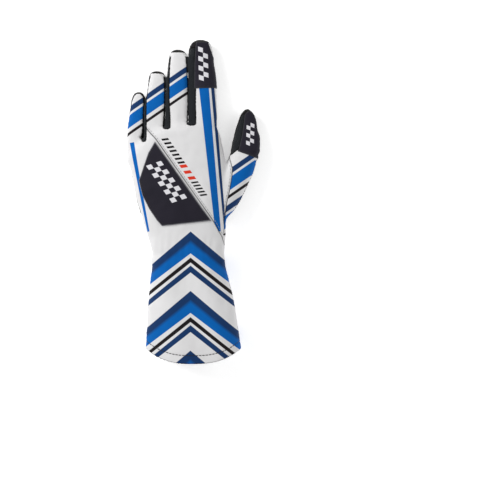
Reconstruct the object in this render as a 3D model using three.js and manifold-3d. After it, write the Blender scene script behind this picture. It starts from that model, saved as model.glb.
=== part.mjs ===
// Left-hand karting glove with a long gauntlet, lying on its palm. Sizes are in millimetres.
// +Y points to the fingertips, +X to the thumb and +Z up. The origin is the middle of the palm,
// on the surface that the glove lies on.
//
// The whole hand shape is a union of soft tubes: one for the gauntlet and palm, one for each
// finger and one for the thumb. The same tubes, grown or shrunk by a layer's distance, give the
// inner face of the cloth and the faces of the patches and grip pads that lie on it.
import * as THREE from "three";
import { mergeVertices } from "three/addons/utils/BufferGeometryUtils.js";
import Module from "manifold-3d";

const wasm = await Module();
wasm.setup();

// Lengths along the hand
const palmLength = 75; // middle of the palm to the crotch of index and middle finger
const heelLength = 42; // middle of the palm back to the wrist
const gauntletLength = 100; // wrist to the hem
const hemDepth = 7.5; // height of the folded hem
const hemBow = 13; // how far the hem's middle reaches below its two ends
const knuckleDrop = 30; // how far the little finger's side of the knuckles lies behind the index's

// Breadths and thicknesses
const wristBreadth = 65;
const hemBreadth = 86;
const palmThickness = 33;
const wristThickness = 27;
const hemThickness = 38;
const fingerGap = 0.9; // between two finger tubes where they come closest

// Sideways places of the tube's middle
const hemShift = 7.8;
const wristShift = 2.8;
const knuckleShift = -11.8;

// Undersides, which arch up between the fingertips, the heel of the hand and the hem
const fingerArch = 4.5;
const palmArch = 4;
const wristLift = 3.5;
const press = 0.9; // how far the soft underside is pressed flat where it rests

// Fingers, from the little finger to the index: length is from the crotch to the tip, setBack is
// the share of the palm's length that the crotch lies behind the index's, lean is in degrees
const fingers = [
  { name: "little", breadth: 14.2, depth: 16, length: 44, setBack: 0.22, lean: 5 },
  { name: "ring", breadth: 17.8, depth: 18, length: 48, setBack: 0.03, lean: 3.4 },
  { name: "middle", breadth: 20.2, depth: 19, length: 66, setBack: 0.01, lean: 0.9 },
  { name: "index", breadth: 25.8, depth: 20, length: 74, setBack: 0, lean: -1.8 },
];

// Thumb: reach is how far its middle line runs sideways and rise how far along the hand
const thumb = { breadth: 25.5, depth: 20, reach: 36, rise: 109, startX: 20, startY: -22 };

// Layers of the make-up
const wall = 1.4; // cloth and suede
const hemWall = 2.4; // two layers at the folded hem
const seamGap = 0.4; // between two panels at a seam
const layerGap = 0.3; // between the cloth and what lies on it
const patchThickness = 0.9;
const badgeThickness = 1.2;
const gripThickness = 0.5;
const floor = layerGap + gripThickness; // the cloth's underside, carried on the grip pads

// Colours, roughness and metalness
const looks = {
  print: { color: 0xdedfe0, roughness: 0.75, metalness: 0 },
  suede: { color: 0x262524, roughness: 0.9, metalness: 0 },
  stretch: { color: 0x1f2124, roughness: 0.7, metalness: 0 },
  patch: { color: 0x2b2935, roughness: 0.6, metalness: 0 },
  grip: { color: 0xe6e6e3, roughness: 0.45, metalness: 0 },
};

const far = 400; // further than any side of the glove
const mix = (a, b, share) => a + (b - a) * share;

// Finger rows from inside the knuckles to the tip: at is the share of the finger's length, middle
// the height of the tube's middle as a share of its depth, rise the share of the fingers' arch
// and cap how far the row moves with the end of the tube when a layer is grown.
const fingerRows = [
  { at: -0.35, breadth: 0.64, depth: 0.9, middle: 0.5, rise: 1.1, cap: 0 },
  { at: 0, breadth: 0.97, depth: 1, middle: 0.5, rise: 1, cap: 0 },
  { at: 0.25, breadth: 1, depth: 1, middle: 0.5, rise: 0.8, cap: 0 },
  { at: 0.5, breadth: 0.95, depth: 0.96, middle: 0.48, rise: 0.4, cap: 0 },
  { at: 0.7, breadth: 0.88, depth: 0.9, middle: 0.45, rise: 0.12, cap: 0 },
  { at: 0.84, breadth: 0.82, depth: 0.84, middle: 0.42, rise: 0, cap: 0 },
  { at: 0.93, breadth: 0.7, depth: 0.72, middle: 0.39, rise: 0, cap: 0.5 },
  { at: 0.98, breadth: 0.48, depth: 0.48, middle: 0.38, rise: 0, cap: 0.9 },
  { at: 1, breadth: 0.2, depth: 0.2, middle: 0.38, rise: 0, cap: 1 },
];
const fingerSides = 14;
const fingerRoundness = 2.4;

// Middle line, sideways direction and half breadth of a finger at a share of its length
function fingerFrame(finger, at) {
  const lean = THREE.MathUtils.degToRad(finger.lean);
  const along = new THREE.Vector2(Math.sin(lean), Math.cos(lean));
  const across = new THREE.Vector2(along.y, -along.x);
  const next = Math.max(fingerRows.findIndex((row) => row.at >= at), 1);
  const [a, b] = [fingerRows[next - 1], fingerRows[next]];
  const share = (at - a.at) / (b.at - a.at);
  const half = (mix(a.breadth, b.breadth, share) * finger.breadth) / 2;
  return { middle: finger.root.clone().addScaledVector(along, at * finger.length), across, along, half };
}

// A point on a finger's edge: way is 1 for its side at the thumb and -1 for the other side
function fingerEdge(finger, at, way, inwards = 0) {
  const { middle, across, half } = fingerFrame(finger, at);
  return middle.addScaledVector(across, way * (half - inwards));
}

// An outline on a finger or thumb, from pairs of shares: along its length, and across it from -1
// at its edge on the little finger's side to 1 at its other edge
const onTube = (frame, pairs) =>
  pairs.map(([at, side]) => {
    const { middle, across, half } = frame(at);
    return middle.addScaledVector(across, side * half);
  });

// The fingers stand side by side in the order of their table, each as close to the one before as
// the gap lets it
fingers.forEach((finger, index) => {
  finger.root = new THREE.Vector2(0, palmLength * (1 - finger.setBack));
  if (index === 0) return;
  const before = fingers[index - 1];
  const needs = fingerRows.slice(1, 7).map((row) => {
    const edge = fingerEdge(before, row.at, 1);
    const at = (edge.y - finger.root.y) / finger.length;
    return edge.x - fingerEdge(finger, Math.max(at, 0), -1).x;
  });
  finger.root.x = Math.max(...needs) + fingerGap;
});
const [little, index] = [fingers[0], fingers.at(-1)];
const knuckleBreadth = index.root.x + index.breadth / 2 - little.root.x + little.breadth / 2;
const knuckleLeft = knuckleShift - knuckleBreadth / 2;
const toLeft = knuckleLeft + little.breadth / 2;
fingers.forEach((finger) => (finger.root.x += toLeft));

// The line of the knuckles: how far along the hand the palm ends at a place across it
function knuckleLine(x) {
  const fromIndex = Math.max(knuckleLeft + knuckleBreadth - x, 0) / knuckleBreadth;
  return palmLength - knuckleDrop * fromIndex ** 4;
}

// A place in plan, as shares of the knuckles' breadth from the little finger's side and of the
// palm's length from its middle
const place = ([across, along]) =>
  new THREE.Vector2(knuckleLeft + across * knuckleBreadth, along * palmLength);

// A closed mesh as a solid that can be cut and joined
function solid(geometry) {
  const bare = new THREE.BufferGeometry();
  bare.setAttribute("position", geometry.getAttribute("position"));
  if (geometry.index) bare.setIndex(geometry.index);
  const merged = mergeVertices(bare, 1e-4);
  return new wasm.Manifold(
    new wasm.Mesh({
      numProp: 3,
      vertProperties: merged.attributes.position.array,
      triVerts: new Uint32Array(merged.index.array),
    }),
  );
}

// A solid as a mesh that can be shown
function geometryOf(body) {
  const mesh = body.getMesh();
  const points = new Float32Array(mesh.numVert * 3);
  for (let i = 0; i < mesh.numVert; i++)
    points.set(mesh.vertProperties.subarray(i * mesh.numProp, i * mesh.numProp + 3), i * 3);
  const geometry = new THREE.BufferGeometry();
  geometry.setAttribute("position", new THREE.BufferAttribute(points, 3));
  geometry.setIndex(new THREE.BufferAttribute(mesh.triVerts, 1));
  geometry.computeVertexNormals();
  return geometry;
}

// A closed tube through rings of points. Each end is closed by a strip between the ring's upper
// and its lower half, so that an end which isn't flat stays free of dents.
function loft(rings) {
  const sides = rings[0].length;
  const faces = [];
  for (let r = 0; r + 1 < rings.length; r++)
    for (let s = 0; s < sides; s++) {
      const a = r * sides + s;
      const b = r * sides + ((s + 1) % sides);
      faces.push(a, b + sides, b, a, a + sides, b + sides);
    }
  const end = (rings.length - 1) * sides;
  for (let s = 0; s < sides / 2; s++) {
    const quad = [s, s + 1, sides - s - 1, (sides - s) % sides];
    const turns = s === 0 ? [[0, 1, 2]] : [[0, 1, 2], [0, 2, 3]];
    if (quad[1] === quad[2]) turns.shift();
    for (const [i, j, k] of turns) {
      faces.push(quad[i], quad[j], quad[k]);
      faces.push(end + quad[i], end + quad[k], end + quad[j]);
    }
  }
  const geometry = new THREE.BufferGeometry().setFromPoints(rings.flat());
  geometry.setIndex(faces);
  return geometry;
}

// One soft section: a rounded box standing across the tube, its underside pressed flat at the
// height rest. grow is the layer's distance from the cloth's outer face.
function section({ x, y, z, breadth, depth, across, sides, roundness, grow, shiftY, rest = floor }) {
  const ring = [];
  for (let s = 0; s < sides; s++) {
    const angle = (2 * Math.PI * s) / sides;
    const power = 2 / roundness;
    const u = Math.sign(Math.cos(angle)) * Math.abs(Math.cos(angle)) ** power;
    const v = Math.sign(Math.sin(angle)) * Math.abs(Math.sin(angle)) ** power;
    const out = u * (breadth / 2 + grow);
    const px = x + across.x * out;
    const pz = Math.max(z + v * (depth / 2 + grow), rest - grow);
    ring.push(new THREE.Vector3(px, y + across.y * out + (shiftY ? shiftY(px, out) : 0), pz));
  }
  return ring;
}

// Gauntlet and palm. Gauntlet rows run from the hem to the wrist: out is the share of the
// gauntlet's length, flare the share of the way from the wrist's size to the hem's.
const gauntletRows = [
  { out: 1, flare: 1, bow: 1 },
  { out: 0.7, flare: 0.82, bow: 0.55 },
  { out: 0.45, flare: 0.56, bow: 0.22 },
  { out: 0.22, flare: 0.2, bow: 0.05 },
  { out: 0, flare: 0, bow: 0 },
];
// Palm rows run from the wrist to the knuckles: up is the share of that length, spread and shift
// the shares of the way from the wrist to the knuckles, swell the share of the palm's thickness,
// lift the share of the palm's arch and skew how far the row follows the slant of the knuckles.
const palmRows = [
  { up: 0.12, spread: 0.28, shift: 0.07, swell: 0.9, lift: 0.4, skew: 0 },
  { up: 0.25, spread: 0.62, shift: 0.24, swell: 0.98, lift: 0, skew: 0 },
  { up: 0.42, spread: 0.98, shift: 0.36, swell: 1, lift: 0, skew: 0 },
  { up: 0.59, spread: 1.18, shift: 0.52, swell: 0.96, lift: 0.1, skew: 0.1 },
  { up: 0.735, spread: 1.2, shift: 0.66, swell: 0.89, lift: 0.35, skew: 0.4 },
  { up: 0.87, spread: 1.1, shift: 0.86, swell: 0.8, lift: 0.75, skew: 0.75 },
  { up: 0.96, spread: 0.92, shift: 1, swell: 0.67, lift: 1.2, skew: 1 },
  { up: 1, spread: 0.5, shift: 1, swell: 0.4, lift: 2.1, skew: 1 },
];
const handSides = 32;
const handRoundness = 2.4;

function handRings(grow, inner) {
  const across = new THREE.Vector2(1, 0);
  const common = { across, sides: handSides, roundness: handRoundness };
  const gauntlet = ({ out, flare, bow }, layer, past = 0) => {
    const breadth = mix(wristBreadth, hemBreadth, flare);
    const depth = mix(wristThickness, hemThickness, flare);
    return section({
      ...common,
      x: mix(wristShift, hemShift, flare),
      y: -heelLength - out * gauntletLength - past,
      z: mix(floor + wristLift, -press, flare) + depth / 2,
      breadth,
      depth,
      grow: layer,
      rest: mix(floor, 0, flare),
      shiftY: (x, side) => hemBow * bow * Math.abs(side / (breadth / 2)) ** 2.6,
    });
  };
  const rows = gauntletRows.map((row) => gauntlet(row, grow));
  if (inner) {
    // Inside, the hem is two layers thick, and the hollow runs out past the hem
    const share = hemDepth / gauntletLength;
    const between = (out) => {
      const [a, b] = gauntletRows;
      const t = (a.out - out) / (a.out - b.out);
      return { out, flare: mix(a.flare, b.flare, t), bow: mix(a.bow, b.bow, t) };
    };
    rows.splice(
      0,
      1,
      gauntlet(gauntletRows[0], -hemWall, hemBow),
      gauntlet(gauntletRows[0], -hemWall),
      gauntlet(between(1 - share), -hemWall),
      gauntlet(between(1 - share - (hemWall - wall) / gauntletLength), grow),
    );
  }
  const length = heelLength + palmLength;
  for (const { up, spread, shift, swell, lift, skew } of palmRows) {
    const breadth = mix(wristBreadth, knuckleBreadth, spread);
    const end = up === 1 ? grow : 0;
    rows.push(
      section({
        ...common,
        x: mix(wristShift, knuckleShift, shift),
        y: up * length - heelLength + end,
        z: floor - press + lift * palmArch + (swell * palmThickness) / 2,
        breadth,
        depth: swell * palmThickness,
        grow,
        shiftY: (x) => skew * (knuckleLine(x) - palmLength),
      }),
    );
  }
  return rows;
}

function fingerRings(finger, grow) {
  return fingerRows.map((row) => {
    const { middle, across, along } = fingerFrame(finger, row.at);
    middle.addScaledVector(along, row.cap * grow);
    return section({
      x: middle.x,
      y: middle.y,
      z: floor - press + row.middle * finger.depth + row.rise * fingerArch,
      breadth: row.breadth * finger.breadth,
      depth: row.depth * finger.depth,
      across,
      sides: fingerSides,
      roundness: fingerRoundness,
      grow,
    });
  });
}

// Thumb rows from inside the palm to the tip, as shares of the thumb's reach, rise and sizes
const thumbRows = [
  { out: 0.1, up: 0.08, breadth: 0.7, depth: 0.9, middle: 0.8, cap: 0 },
  { out: 0.36, up: 0.22, breadth: 1.02, depth: 1.24, middle: 0.68, cap: 0 },
  { out: 0.69, up: 0.42, breadth: 1.04, depth: 1.22, middle: 0.62, cap: 0 },
  { out: 0.9, up: 0.59, breadth: 0.98, depth: 1.1, middle: 0.56, cap: 0 },
  { out: 0.975, up: 0.71, breadth: 0.96, depth: 1, middle: 0.5, cap: 0 },
  { out: 0.99, up: 0.81, breadth: 0.83, depth: 0.9, middle: 0.45, cap: 0 },
  { out: 1, up: 0.905, breadth: 0.66, depth: 0.76, middle: 0.41, cap: 0.2 },
  { out: 0.995, up: 0.965, breadth: 0.45, depth: 0.55, middle: 0.38, cap: 0.7 },
  { out: 0.985, up: 1, breadth: 0.16, depth: 0.22, middle: 0.38, cap: 1 },
];
const thumbSides = 16;
const thumbRoundness = 2.3;

// Middle line, sideways direction and half breadth of the thumb at a share of its rise
function thumbFrame(at) {
  const next = Math.max(thumbRows.findIndex((row) => row.up >= at), 1);
  const [a, b] = [thumbRows[next - 1], thumbRows[next]];
  const share = (at - a.up) / (b.up - a.up);
  const point = (row) =>
    new THREE.Vector2(thumb.startX + row.out * thumb.reach, thumb.startY + row.up * thumb.rise);
  const direction = (index) => {
    const before = thumbRows[Math.max(index - 1, 0)];
    const after = thumbRows[Math.min(index + 1, thumbRows.length - 1)];
    return point(after).sub(point(before)).normalize();
  };
  const along = direction(next - 1).lerp(direction(next), share).normalize();
  return {
    middle: point(a).lerp(point(b), share),
    along,
    across: new THREE.Vector2(along.y, -along.x),
    half: (mix(a.breadth, b.breadth, share) * thumb.breadth) / 2,
  };
}

function thumbRings(grow) {
  return thumbRows.map((row) => {
    const { middle, along, across } = thumbFrame(row.up);
    middle.addScaledVector(along, row.cap * grow);
    return section({
      x: middle.x,
      y: middle.y,
      z: floor - press + row.middle * thumb.depth,
      breadth: row.breadth * thumb.breadth,
      depth: row.depth * thumb.depth,
      across,
      sides: thumbSides,
      roundness: thumbRoundness,
      grow,
    });
  });
}

// The whole hand shape at a layer's distance from the cloth's outer face
function handShape(grow, inner = false) {
  const tubes = fingers.map((finger) => solid(loft(fingerRings(finger, grow))));
  tubes.push(solid(loft(thumbRings(grow))));
  return tubes.reduce((whole, tube) => whole.add(tube), solid(loft(handRings(grow, inner))));
}

// A plan outline moved outwards by a distance, with square corners
function moved(outline, distance) {
  const turning = THREE.ShapeUtils.isClockWise(outline) ? -1 : 1;
  const normal = (a, b) => {
    const d = b.clone().sub(a).normalize();
    return new THREE.Vector2(d.y, -d.x).multiplyScalar(turning);
  };
  return outline.map((point, i) => {
    const before = outline[(i + outline.length - 1) % outline.length];
    const after = outline[(i + 1) % outline.length];
    const n = normal(before, point);
    const m = normal(point, after);
    const sum = n.clone().add(m);
    return point.clone().addScaledVector(sum, distance / Math.max(1 + n.dot(m), 0.3));
  });
}

// An upright prism over a plan outline
function column(outline) {
  const geometry = new THREE.ExtrudeGeometry(new THREE.Shape(outline), {
    depth: 2 * far,
    bevelEnabled: false,
  });
  return solid(geometry.translate(0, 0, -far));
}

// Cuts a panel out of a larger one: what lies inside the outline and what lies outside, with the
// seam's gap between them
function panels(whole, outline) {
  return [
    whole.intersect(column(moved(outline, -seamGap / 2))),
    whole.subtract(column(moved(outline, seamGap / 2))),
  ];
}

// The side seam, where the back of the glove meets the palm: its height along the hand
const longest = fingers.reduce((a, b) => (a.length > b.length ? a : b));
const sideSeam = [
  { y: -far, z: floor + hemThickness / 2 },
  { y: -heelLength - gauntletLength, z: floor + hemThickness / 2 },
  { y: -heelLength, z: floor + wristLift + wristThickness * 0.45 },
  { y: 0, z: floor + palmThickness * 0.42 },
  { y: palmLength / 2, z: floor + palmThickness * 0.38 },
  { y: palmLength, z: floor + palmArch + palmThickness * 0.22 },
  { y: palmLength + longest.length, z: floor + longest.depth * 0.38 },
  { y: far, z: floor + longest.depth * 0.38 },
];

// Everything above or below the side seam, moved from it by half the seam's gap
function half(side) {
  const line = sideSeam.map(({ y, z }) => new THREE.Vector2(y, z + (side * seamGap) / 2));
  line.push(new THREE.Vector2(far, side * far), new THREE.Vector2(-far, side * far));
  const geometry = new THREE.ExtrudeGeometry(new THREE.Shape(line), {
    depth: 2 * far,
    bevelEnabled: false,
  });
  geometry.translate(0, 0, -far);
  // The outline is drawn in Y and Z, and its thickness runs along X
  const turn = new THREE.Matrix4().makeBasis(
    new THREE.Vector3(0, 1, 0),
    new THREE.Vector3(0, 0, 1),
    new THREE.Vector3(1, 0, 0),
  );
  return solid(geometry.applyMatrix4(turn));
}

const upperHalf = half(1);
const lowerHalf = half(-1);

// Fourchettes: the dark strips between two fingers. show is how much of the strip is seen on the
// finger at the thumb's side, as shares of that finger's breadth from its root to its tip.
const fourchettes = [
  { left: 0, right: 1, show: [0.16, 0.14, 0.12] },
  { left: 1, right: 2, show: [0.26, 0.2, 0.11] },
  { left: 2, right: 3, show: [0.23, 0.24, 0.16] },
];
const fourchetteTuck = wall + 0.5; // how far the strip reaches under the other finger's back
const fourchetteEnd = 0.9; // share of the finger's length where the strip ends
const crotchDepth = 3.5; // how far the strip reaches below the crotch

function fourchetteOutline({ left, right, show }) {
  const a = fingers[left];
  const b = fingers[right];
  const shown = (at) => {
    const t = (at / fourchetteEnd) * 2;
    return b.breadth * (t < 1 ? mix(show[0], show[1], t) : mix(show[1], show[2], t - 1));
  };
  const up = [0.05, fourchetteEnd / 2, fourchetteEnd];
  const sideB = up.map((at) => fingerEdge(b, at, -1, shown(at)));
  const sideA = up.map((at) => fingerEdge(a, at, 1, fourchetteTuck));
  const bottom = Math.min(knuckleLine(sideA[0].x), sideA[0].y, sideB[0].y) - crotchDepth;
  // Past the shorter finger's end, the outline runs up the free gap between the two
  const level = (sideA[2].y - b.root.y) / b.length;
  return [
    ...sideB.toReversed(),
    new THREE.Vector2(sideB[0].x, bottom + 1.5),
    new THREE.Vector2(mix(sideA[0].x, sideB[0].x, 0.7), bottom),
    new THREE.Vector2(mix(sideA[0].x, sideB[0].x, 0.3), bottom),
    new THREE.Vector2(sideA[0].x, bottom + 1.5),
    ...sideA,
    fingerEdge(b, level, -1, -fingerGap / 2),
    fingerEdge(b, fourchetteEnd, -1, -fingerGap / 2),
  ];
}

// Thumb gusset: the dark strip on the side of the thumb that faces the fingers
const gussetOutline = [
  [0.585, -0.92],
  [0.66, -0.42],
  [0.78, -0.34],
  [0.9, -0.3],
  [0.955, -0.35],
  [0.95, -1.5],
  [0.8, -1.25],
  [0.66, -1.15],
];

// Plan lines of the upper panels, as shares of the knuckles' breadth and the palm's length.
// The slant seam parts the back of the hand from the gauntlet, the little finger with it.
const slantSeam = [
  [0.19, 0.945],
  [0.328, 0.787],
  [0.955, -0.187],
  [1.055, -0.387],
  [1.1, -0.56],
];
// The thumb seam runs from the crotch of the thumb down to the slant seam
const thumbSeam = [
  [1.12, 0.6],
  [1.165, 0.436],
  [1.16, 0.344],
  [1.135, 0.172],
  [1.1, 0],
  [1.08, -0.2],
  [1.07, -0.36],
];
// The wrist seam closes the suede palm against the front of the gauntlet
const wristSeam = [
  [-0.2, -0.1],
  [0.12, -0.22],
  [0.42, -0.28],
  [0.75, -0.28],
  [1.05, -0.22],
  [1.6, -0.1],
];
const badgeOutline = [
  [0.322, 0.752],
  [0.25, 0.615],
  [0.19, 0.42],
  [0.15, 0.288],
  [0.19, 0.108],
  [0.262, -0.048],
  [0.341, -0.18],
  [0.4, -0.255],
  [0.935, -0.192],
];

function gauntletOutline() {
  const ring = fingers[1];
  const gapX = (little.root.x + little.breadth / 2 + ring.root.x - ring.breadth / 2) / 2;
  const lean = Math.tan(THREE.MathUtils.degToRad((little.lean + ring.lean) / 2));
  const top = little.root.y + little.length + 10;
  return [
    new THREE.Vector2(gapX + lean * (top - little.root.y), top),
    new THREE.Vector2(gapX + 1, palmLength * slantSeam[0][1]),
    ...slantSeam.slice(1).map(place),
    new THREE.Vector2(far, palmLength * slantSeam.at(-1)[1]),
    new THREE.Vector2(far, -far),
    new THREE.Vector2(-far, -far),
    new THREE.Vector2(-far, top),
  ];
}

function thumbOutline() {
  const line = thumbSeam.map(place);
  return [
    new THREE.Vector2(line[0].x, far),
    ...line,
    new THREE.Vector2(far, line.at(-1).y),
    new THREE.Vector2(far, far),
  ];
}

// The suede runs on from the palm over the front of each finger and the thumb. Each front is a
// piece of its own here, parted from the palm at the root.
const frontStart = 0.02; // share of the finger's length
const frontPast = 3; // how far an outline runs past the tip
function fingerFrontOutline(finger) {
  const rows = [frontStart, 0.25, 0.5, 0.7, 0.84, 0.93];
  const end = fingerFrame(finger, rows.at(-1));
  const past = (1 - rows.at(-1)) * finger.length + frontPast;
  const side = (way) => [
    ...rows.map((at) => fingerEdge(finger, at, way, -fingerGap / 2)),
    fingerEdge(finger, rows.at(-1), way).addScaledVector(end.along, past),
  ];
  return [...side(1), ...side(-1).toReversed()];
}
const thumbFront = [
  [0.6, -1.25],
  [0.49, 1.25],
  [0.6, 1.25],
  [0.8, 1.3],
  [0.93, 1.6],
  [1, 4],
  [1, -4],
  [0.93, -1.6],
  [0.8, -1.3],
];

function wristOutline() {
  const line = wristSeam.map(place);
  return [...line, new THREE.Vector2(far, -far), new THREE.Vector2(-far, -far)];
}

// The mesh of one piece, in its look, without the crumbs that a cut along a curved edge can leave
const crumb = 0.5; // cubic millimetres
const glove = new THREE.Group();
function show(name, body, look) {
  const whole = wasm.Manifold.compose(body.decompose().filter((part) => part.volume() > crumb));
  const mesh = new THREE.Mesh(geometryOf(whole), new THREE.MeshStandardMaterial(looks[look]));
  mesh.name = name;
  glove.add(mesh);
}

// Cloth and suede
const outerShape = handShape(0);
const cloth = outerShape.subtract(handShape(-wall, true));
let upper = cloth.intersect(upperHalf);
for (const strip of fourchettes) {
  const names = [fingers[strip.left].name, fingers[strip.right].name];
  const [piece, rest] = panels(upper, fourchetteOutline(strip));
  show(`fourchette_${names.join("_")}`, piece, "stretch");
  upper = rest;
}
const [gusset, withoutGusset] = panels(upper, onTube(thumbFrame, gussetOutline));
show("thumb_gusset", gusset, "stretch");
const [gauntletBack, handBack] = panels(withoutGusset, gauntletOutline());
show("gauntlet_back_panel", gauntletBack, "print");
const [thumbPanel, backPanel] = panels(handBack, thumbOutline());
show("thumb_panel", thumbPanel, "print");
show("back_panel", backPanel, "print");
const [gauntletFront, front] = panels(cloth.intersect(lowerHalf), wristOutline());
show("gauntlet_front_panel", gauntletFront, "print");
let palmPanel = front;
for (const finger of fingers) {
  const [piece, rest] = panels(palmPanel, fingerFrontOutline(finger));
  show(`front_${finger.name}`, piece, "suede");
  palmPanel = rest;
}
const [thumbPiece, palmPiece] = panels(palmPanel, onTube(thumbFrame, thumbFront));
show("front_thumb", thumbPiece, "suede");
show("palm_panel", palmPiece, "suede");

// What lies on the cloth, one layer's gap above it
const underLayer = handShape(layerGap);
function layer(thickness, half) {
  const whole = handShape(layerGap + thickness).subtract(underLayer).intersect(half);
  return (outline) => whole.intersect(column(outline));
}

// Tip patches on the index finger and the thumb, and the badge on the back of the hand
const indexPatch = [
  [0.4, -0.44],
  [0.7, -0.42],
  [0.95, -0.42],
  [0.965, 0],
  [0.95, 0.8],
  [0.86, 1.5],
  [0.4, 1.5],
];
const thumbPatch = [
  [0.63, -0.5],
  [0.66, -0.36],
  [0.78, -0.28],
  [0.9, -0.24],
  [0.95, -0.2],
  [0.96, 0.5],
  [0.9, 1.5],
  [0.61, 1.5],
];
const patchLayer = layer(patchThickness, upperHalf);
show("index_patch", patchLayer(onTube((at) => fingerFrame(index, at), indexPatch)), "patch");
show("thumb_patch", patchLayer(onTube(thumbFrame, thumbPatch)), "patch");
show("badge", layer(badgeThickness, upperHalf)(badgeOutline.map(place)), "patch");

// Grip pads on the palm side: one at each tip, short bars further down and large ones on the palm
const tipPads = [
  { name: "little", start: 0.64, end: 0.95 },
  { name: "ring", start: 0.58, end: 0.95 },
  { name: "middle", start: 0.52, end: 0.95 },
  { name: "index", start: 0.46, end: 0.95 },
  { name: "thumb", start: 0.74, end: 0.955 },
];
// Along a tip pad as a share of its length, and across the finger
const tipPadShape = [
  [0, -0.62],
  [0.12, 0.1],
  [0.3, 0.62],
  [0.78, 0.62],
  [1, 0.34],
  [1, -0.34],
  [0.78, -0.62],
];
const barRows = [
  { name: "little", start: 0.32, count: 3 },
  { name: "ring", start: 0.2, count: 3 },
  { name: "middle", start: 0.17, count: 4 },
  { name: "index", start: 0.12, count: 4 },
  { name: "thumb", start: 0.58, count: 3 },
];
const barPitch = 4; // mm from one bar to the next
const barHeight = 2.6;
const barHalf = 0.5; // half of a bar's breadth, as a share of half the finger's
const barSlant = 0.4; // how far a bar's end at the thumb's side lies behind its other end

// Outlines as shares of the knuckles' breadth and the palm's length
const palmPads = [
  {
    name: "knuckle_inner",
    outline: [[0.5, 0.67], [0.6, 0.8], [0.86, 0.82], [0.95, 0.72], [0.95, 0.57], [0.73, 0.48]],
  },
  {
    name: "knuckle_outer",
    outline: [[0.1, 0.41], [0.12, 0.52], [0.22, 0.62], [0.4, 0.7], [0.47, 0.67], [0.67, 0.48], [0.5, 0.43]],
  },
  {
    name: "band",
    outline: [[0.07, 0.35], [0.52, 0.39], [0.74, 0.43], [0.97, 0.52], [0.98, 0.44], [0.76, 0.35], [0.53, 0.3], [0.07, 0.26]],
  },
  {
    name: "centre",
    outline: [[0.29, 0.23], [0.53, 0.25], [0.74, 0.3], [0.77, 0.2], [0.76, -0.04], [0.62, -0.19], [0.4, -0.17], [0.27, 0]],
  },
  {
    name: "outer_heel",
    outline: [[0.08, 0.2], [0.24, 0.22], [0.22, 0], [0.35, -0.18], [0.25, -0.18], [0.12, -0.06]],
  },
  {
    name: "thumb_base",
    outline: [[0.82, 0.24], [0.82, 0.32], [0.97, 0.38], [1.06, 0.24], [1.03, 0.04], [0.9, -0.14], [0.73, -0.17], [0.81, -0.06]],
  },
];

const gripLayer = layer(gripThickness, lowerHalf);
const grip = (name, outline) => show(`grip_${name}`, gripLayer(outline), "grip");
const frameOf = (name) => {
  const finger = fingers.find((one) => one.name === name);
  return finger ? (at) => fingerFrame(finger, at) : thumbFrame;
};
const lengthOf = (name) => fingers.find((one) => one.name === name)?.length ?? thumb.rise;

for (const { name, start, end } of tipPads) {
  const shape = tipPadShape.map(([along, across]) => [mix(start, end, along), across]);
  grip(`tip_${name}`, onTube(frameOf(name), shape));
}
for (const { name, start, count } of barRows)
  for (let n = 0; n < count; n++) {
    const length = lengthOf(name);
    const low = start + (n * barPitch) / length;
    const high = low + barHeight / length;
    const slant = (barSlant * barHeight) / length;
    const bar = [
      [low, -barHalf],
      [low - slant, barHalf],
      [high - slant, barHalf],
      [high, -barHalf],
    ];
    grip(`bar_${name}_${n + 1}`, onTube(frameOf(name), bar));
  }
for (const { name, outline } of palmPads) grip(`palm_${name}`, outline.map(place));

export default glove;
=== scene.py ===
# A left-hand karting glove with a long gauntlet, lying on its palm on a pale table. Lengths are
# in millimetres until a mesh is finished, and mm turns them into metres.
import bpy
import math
import numpy as np
from mathutils import Matrix, Vector, noise
from mathutils.bvhtree import BVHTree
from mathutils.kdtree import KDTree


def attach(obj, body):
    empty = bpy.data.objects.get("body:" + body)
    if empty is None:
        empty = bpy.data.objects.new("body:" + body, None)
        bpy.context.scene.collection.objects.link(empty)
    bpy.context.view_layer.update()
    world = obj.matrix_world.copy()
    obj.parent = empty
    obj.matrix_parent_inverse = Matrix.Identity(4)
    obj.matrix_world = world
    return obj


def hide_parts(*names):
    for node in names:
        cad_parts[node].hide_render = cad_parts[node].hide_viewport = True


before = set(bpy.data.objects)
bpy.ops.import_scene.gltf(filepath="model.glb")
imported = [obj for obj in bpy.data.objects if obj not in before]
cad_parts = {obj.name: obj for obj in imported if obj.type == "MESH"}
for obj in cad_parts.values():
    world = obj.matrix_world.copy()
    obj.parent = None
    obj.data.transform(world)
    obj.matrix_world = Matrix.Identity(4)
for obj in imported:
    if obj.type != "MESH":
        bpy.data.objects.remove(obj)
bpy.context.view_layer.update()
bpy.ops.object.select_all(action="DESELECT")
mm = 0.001

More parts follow.
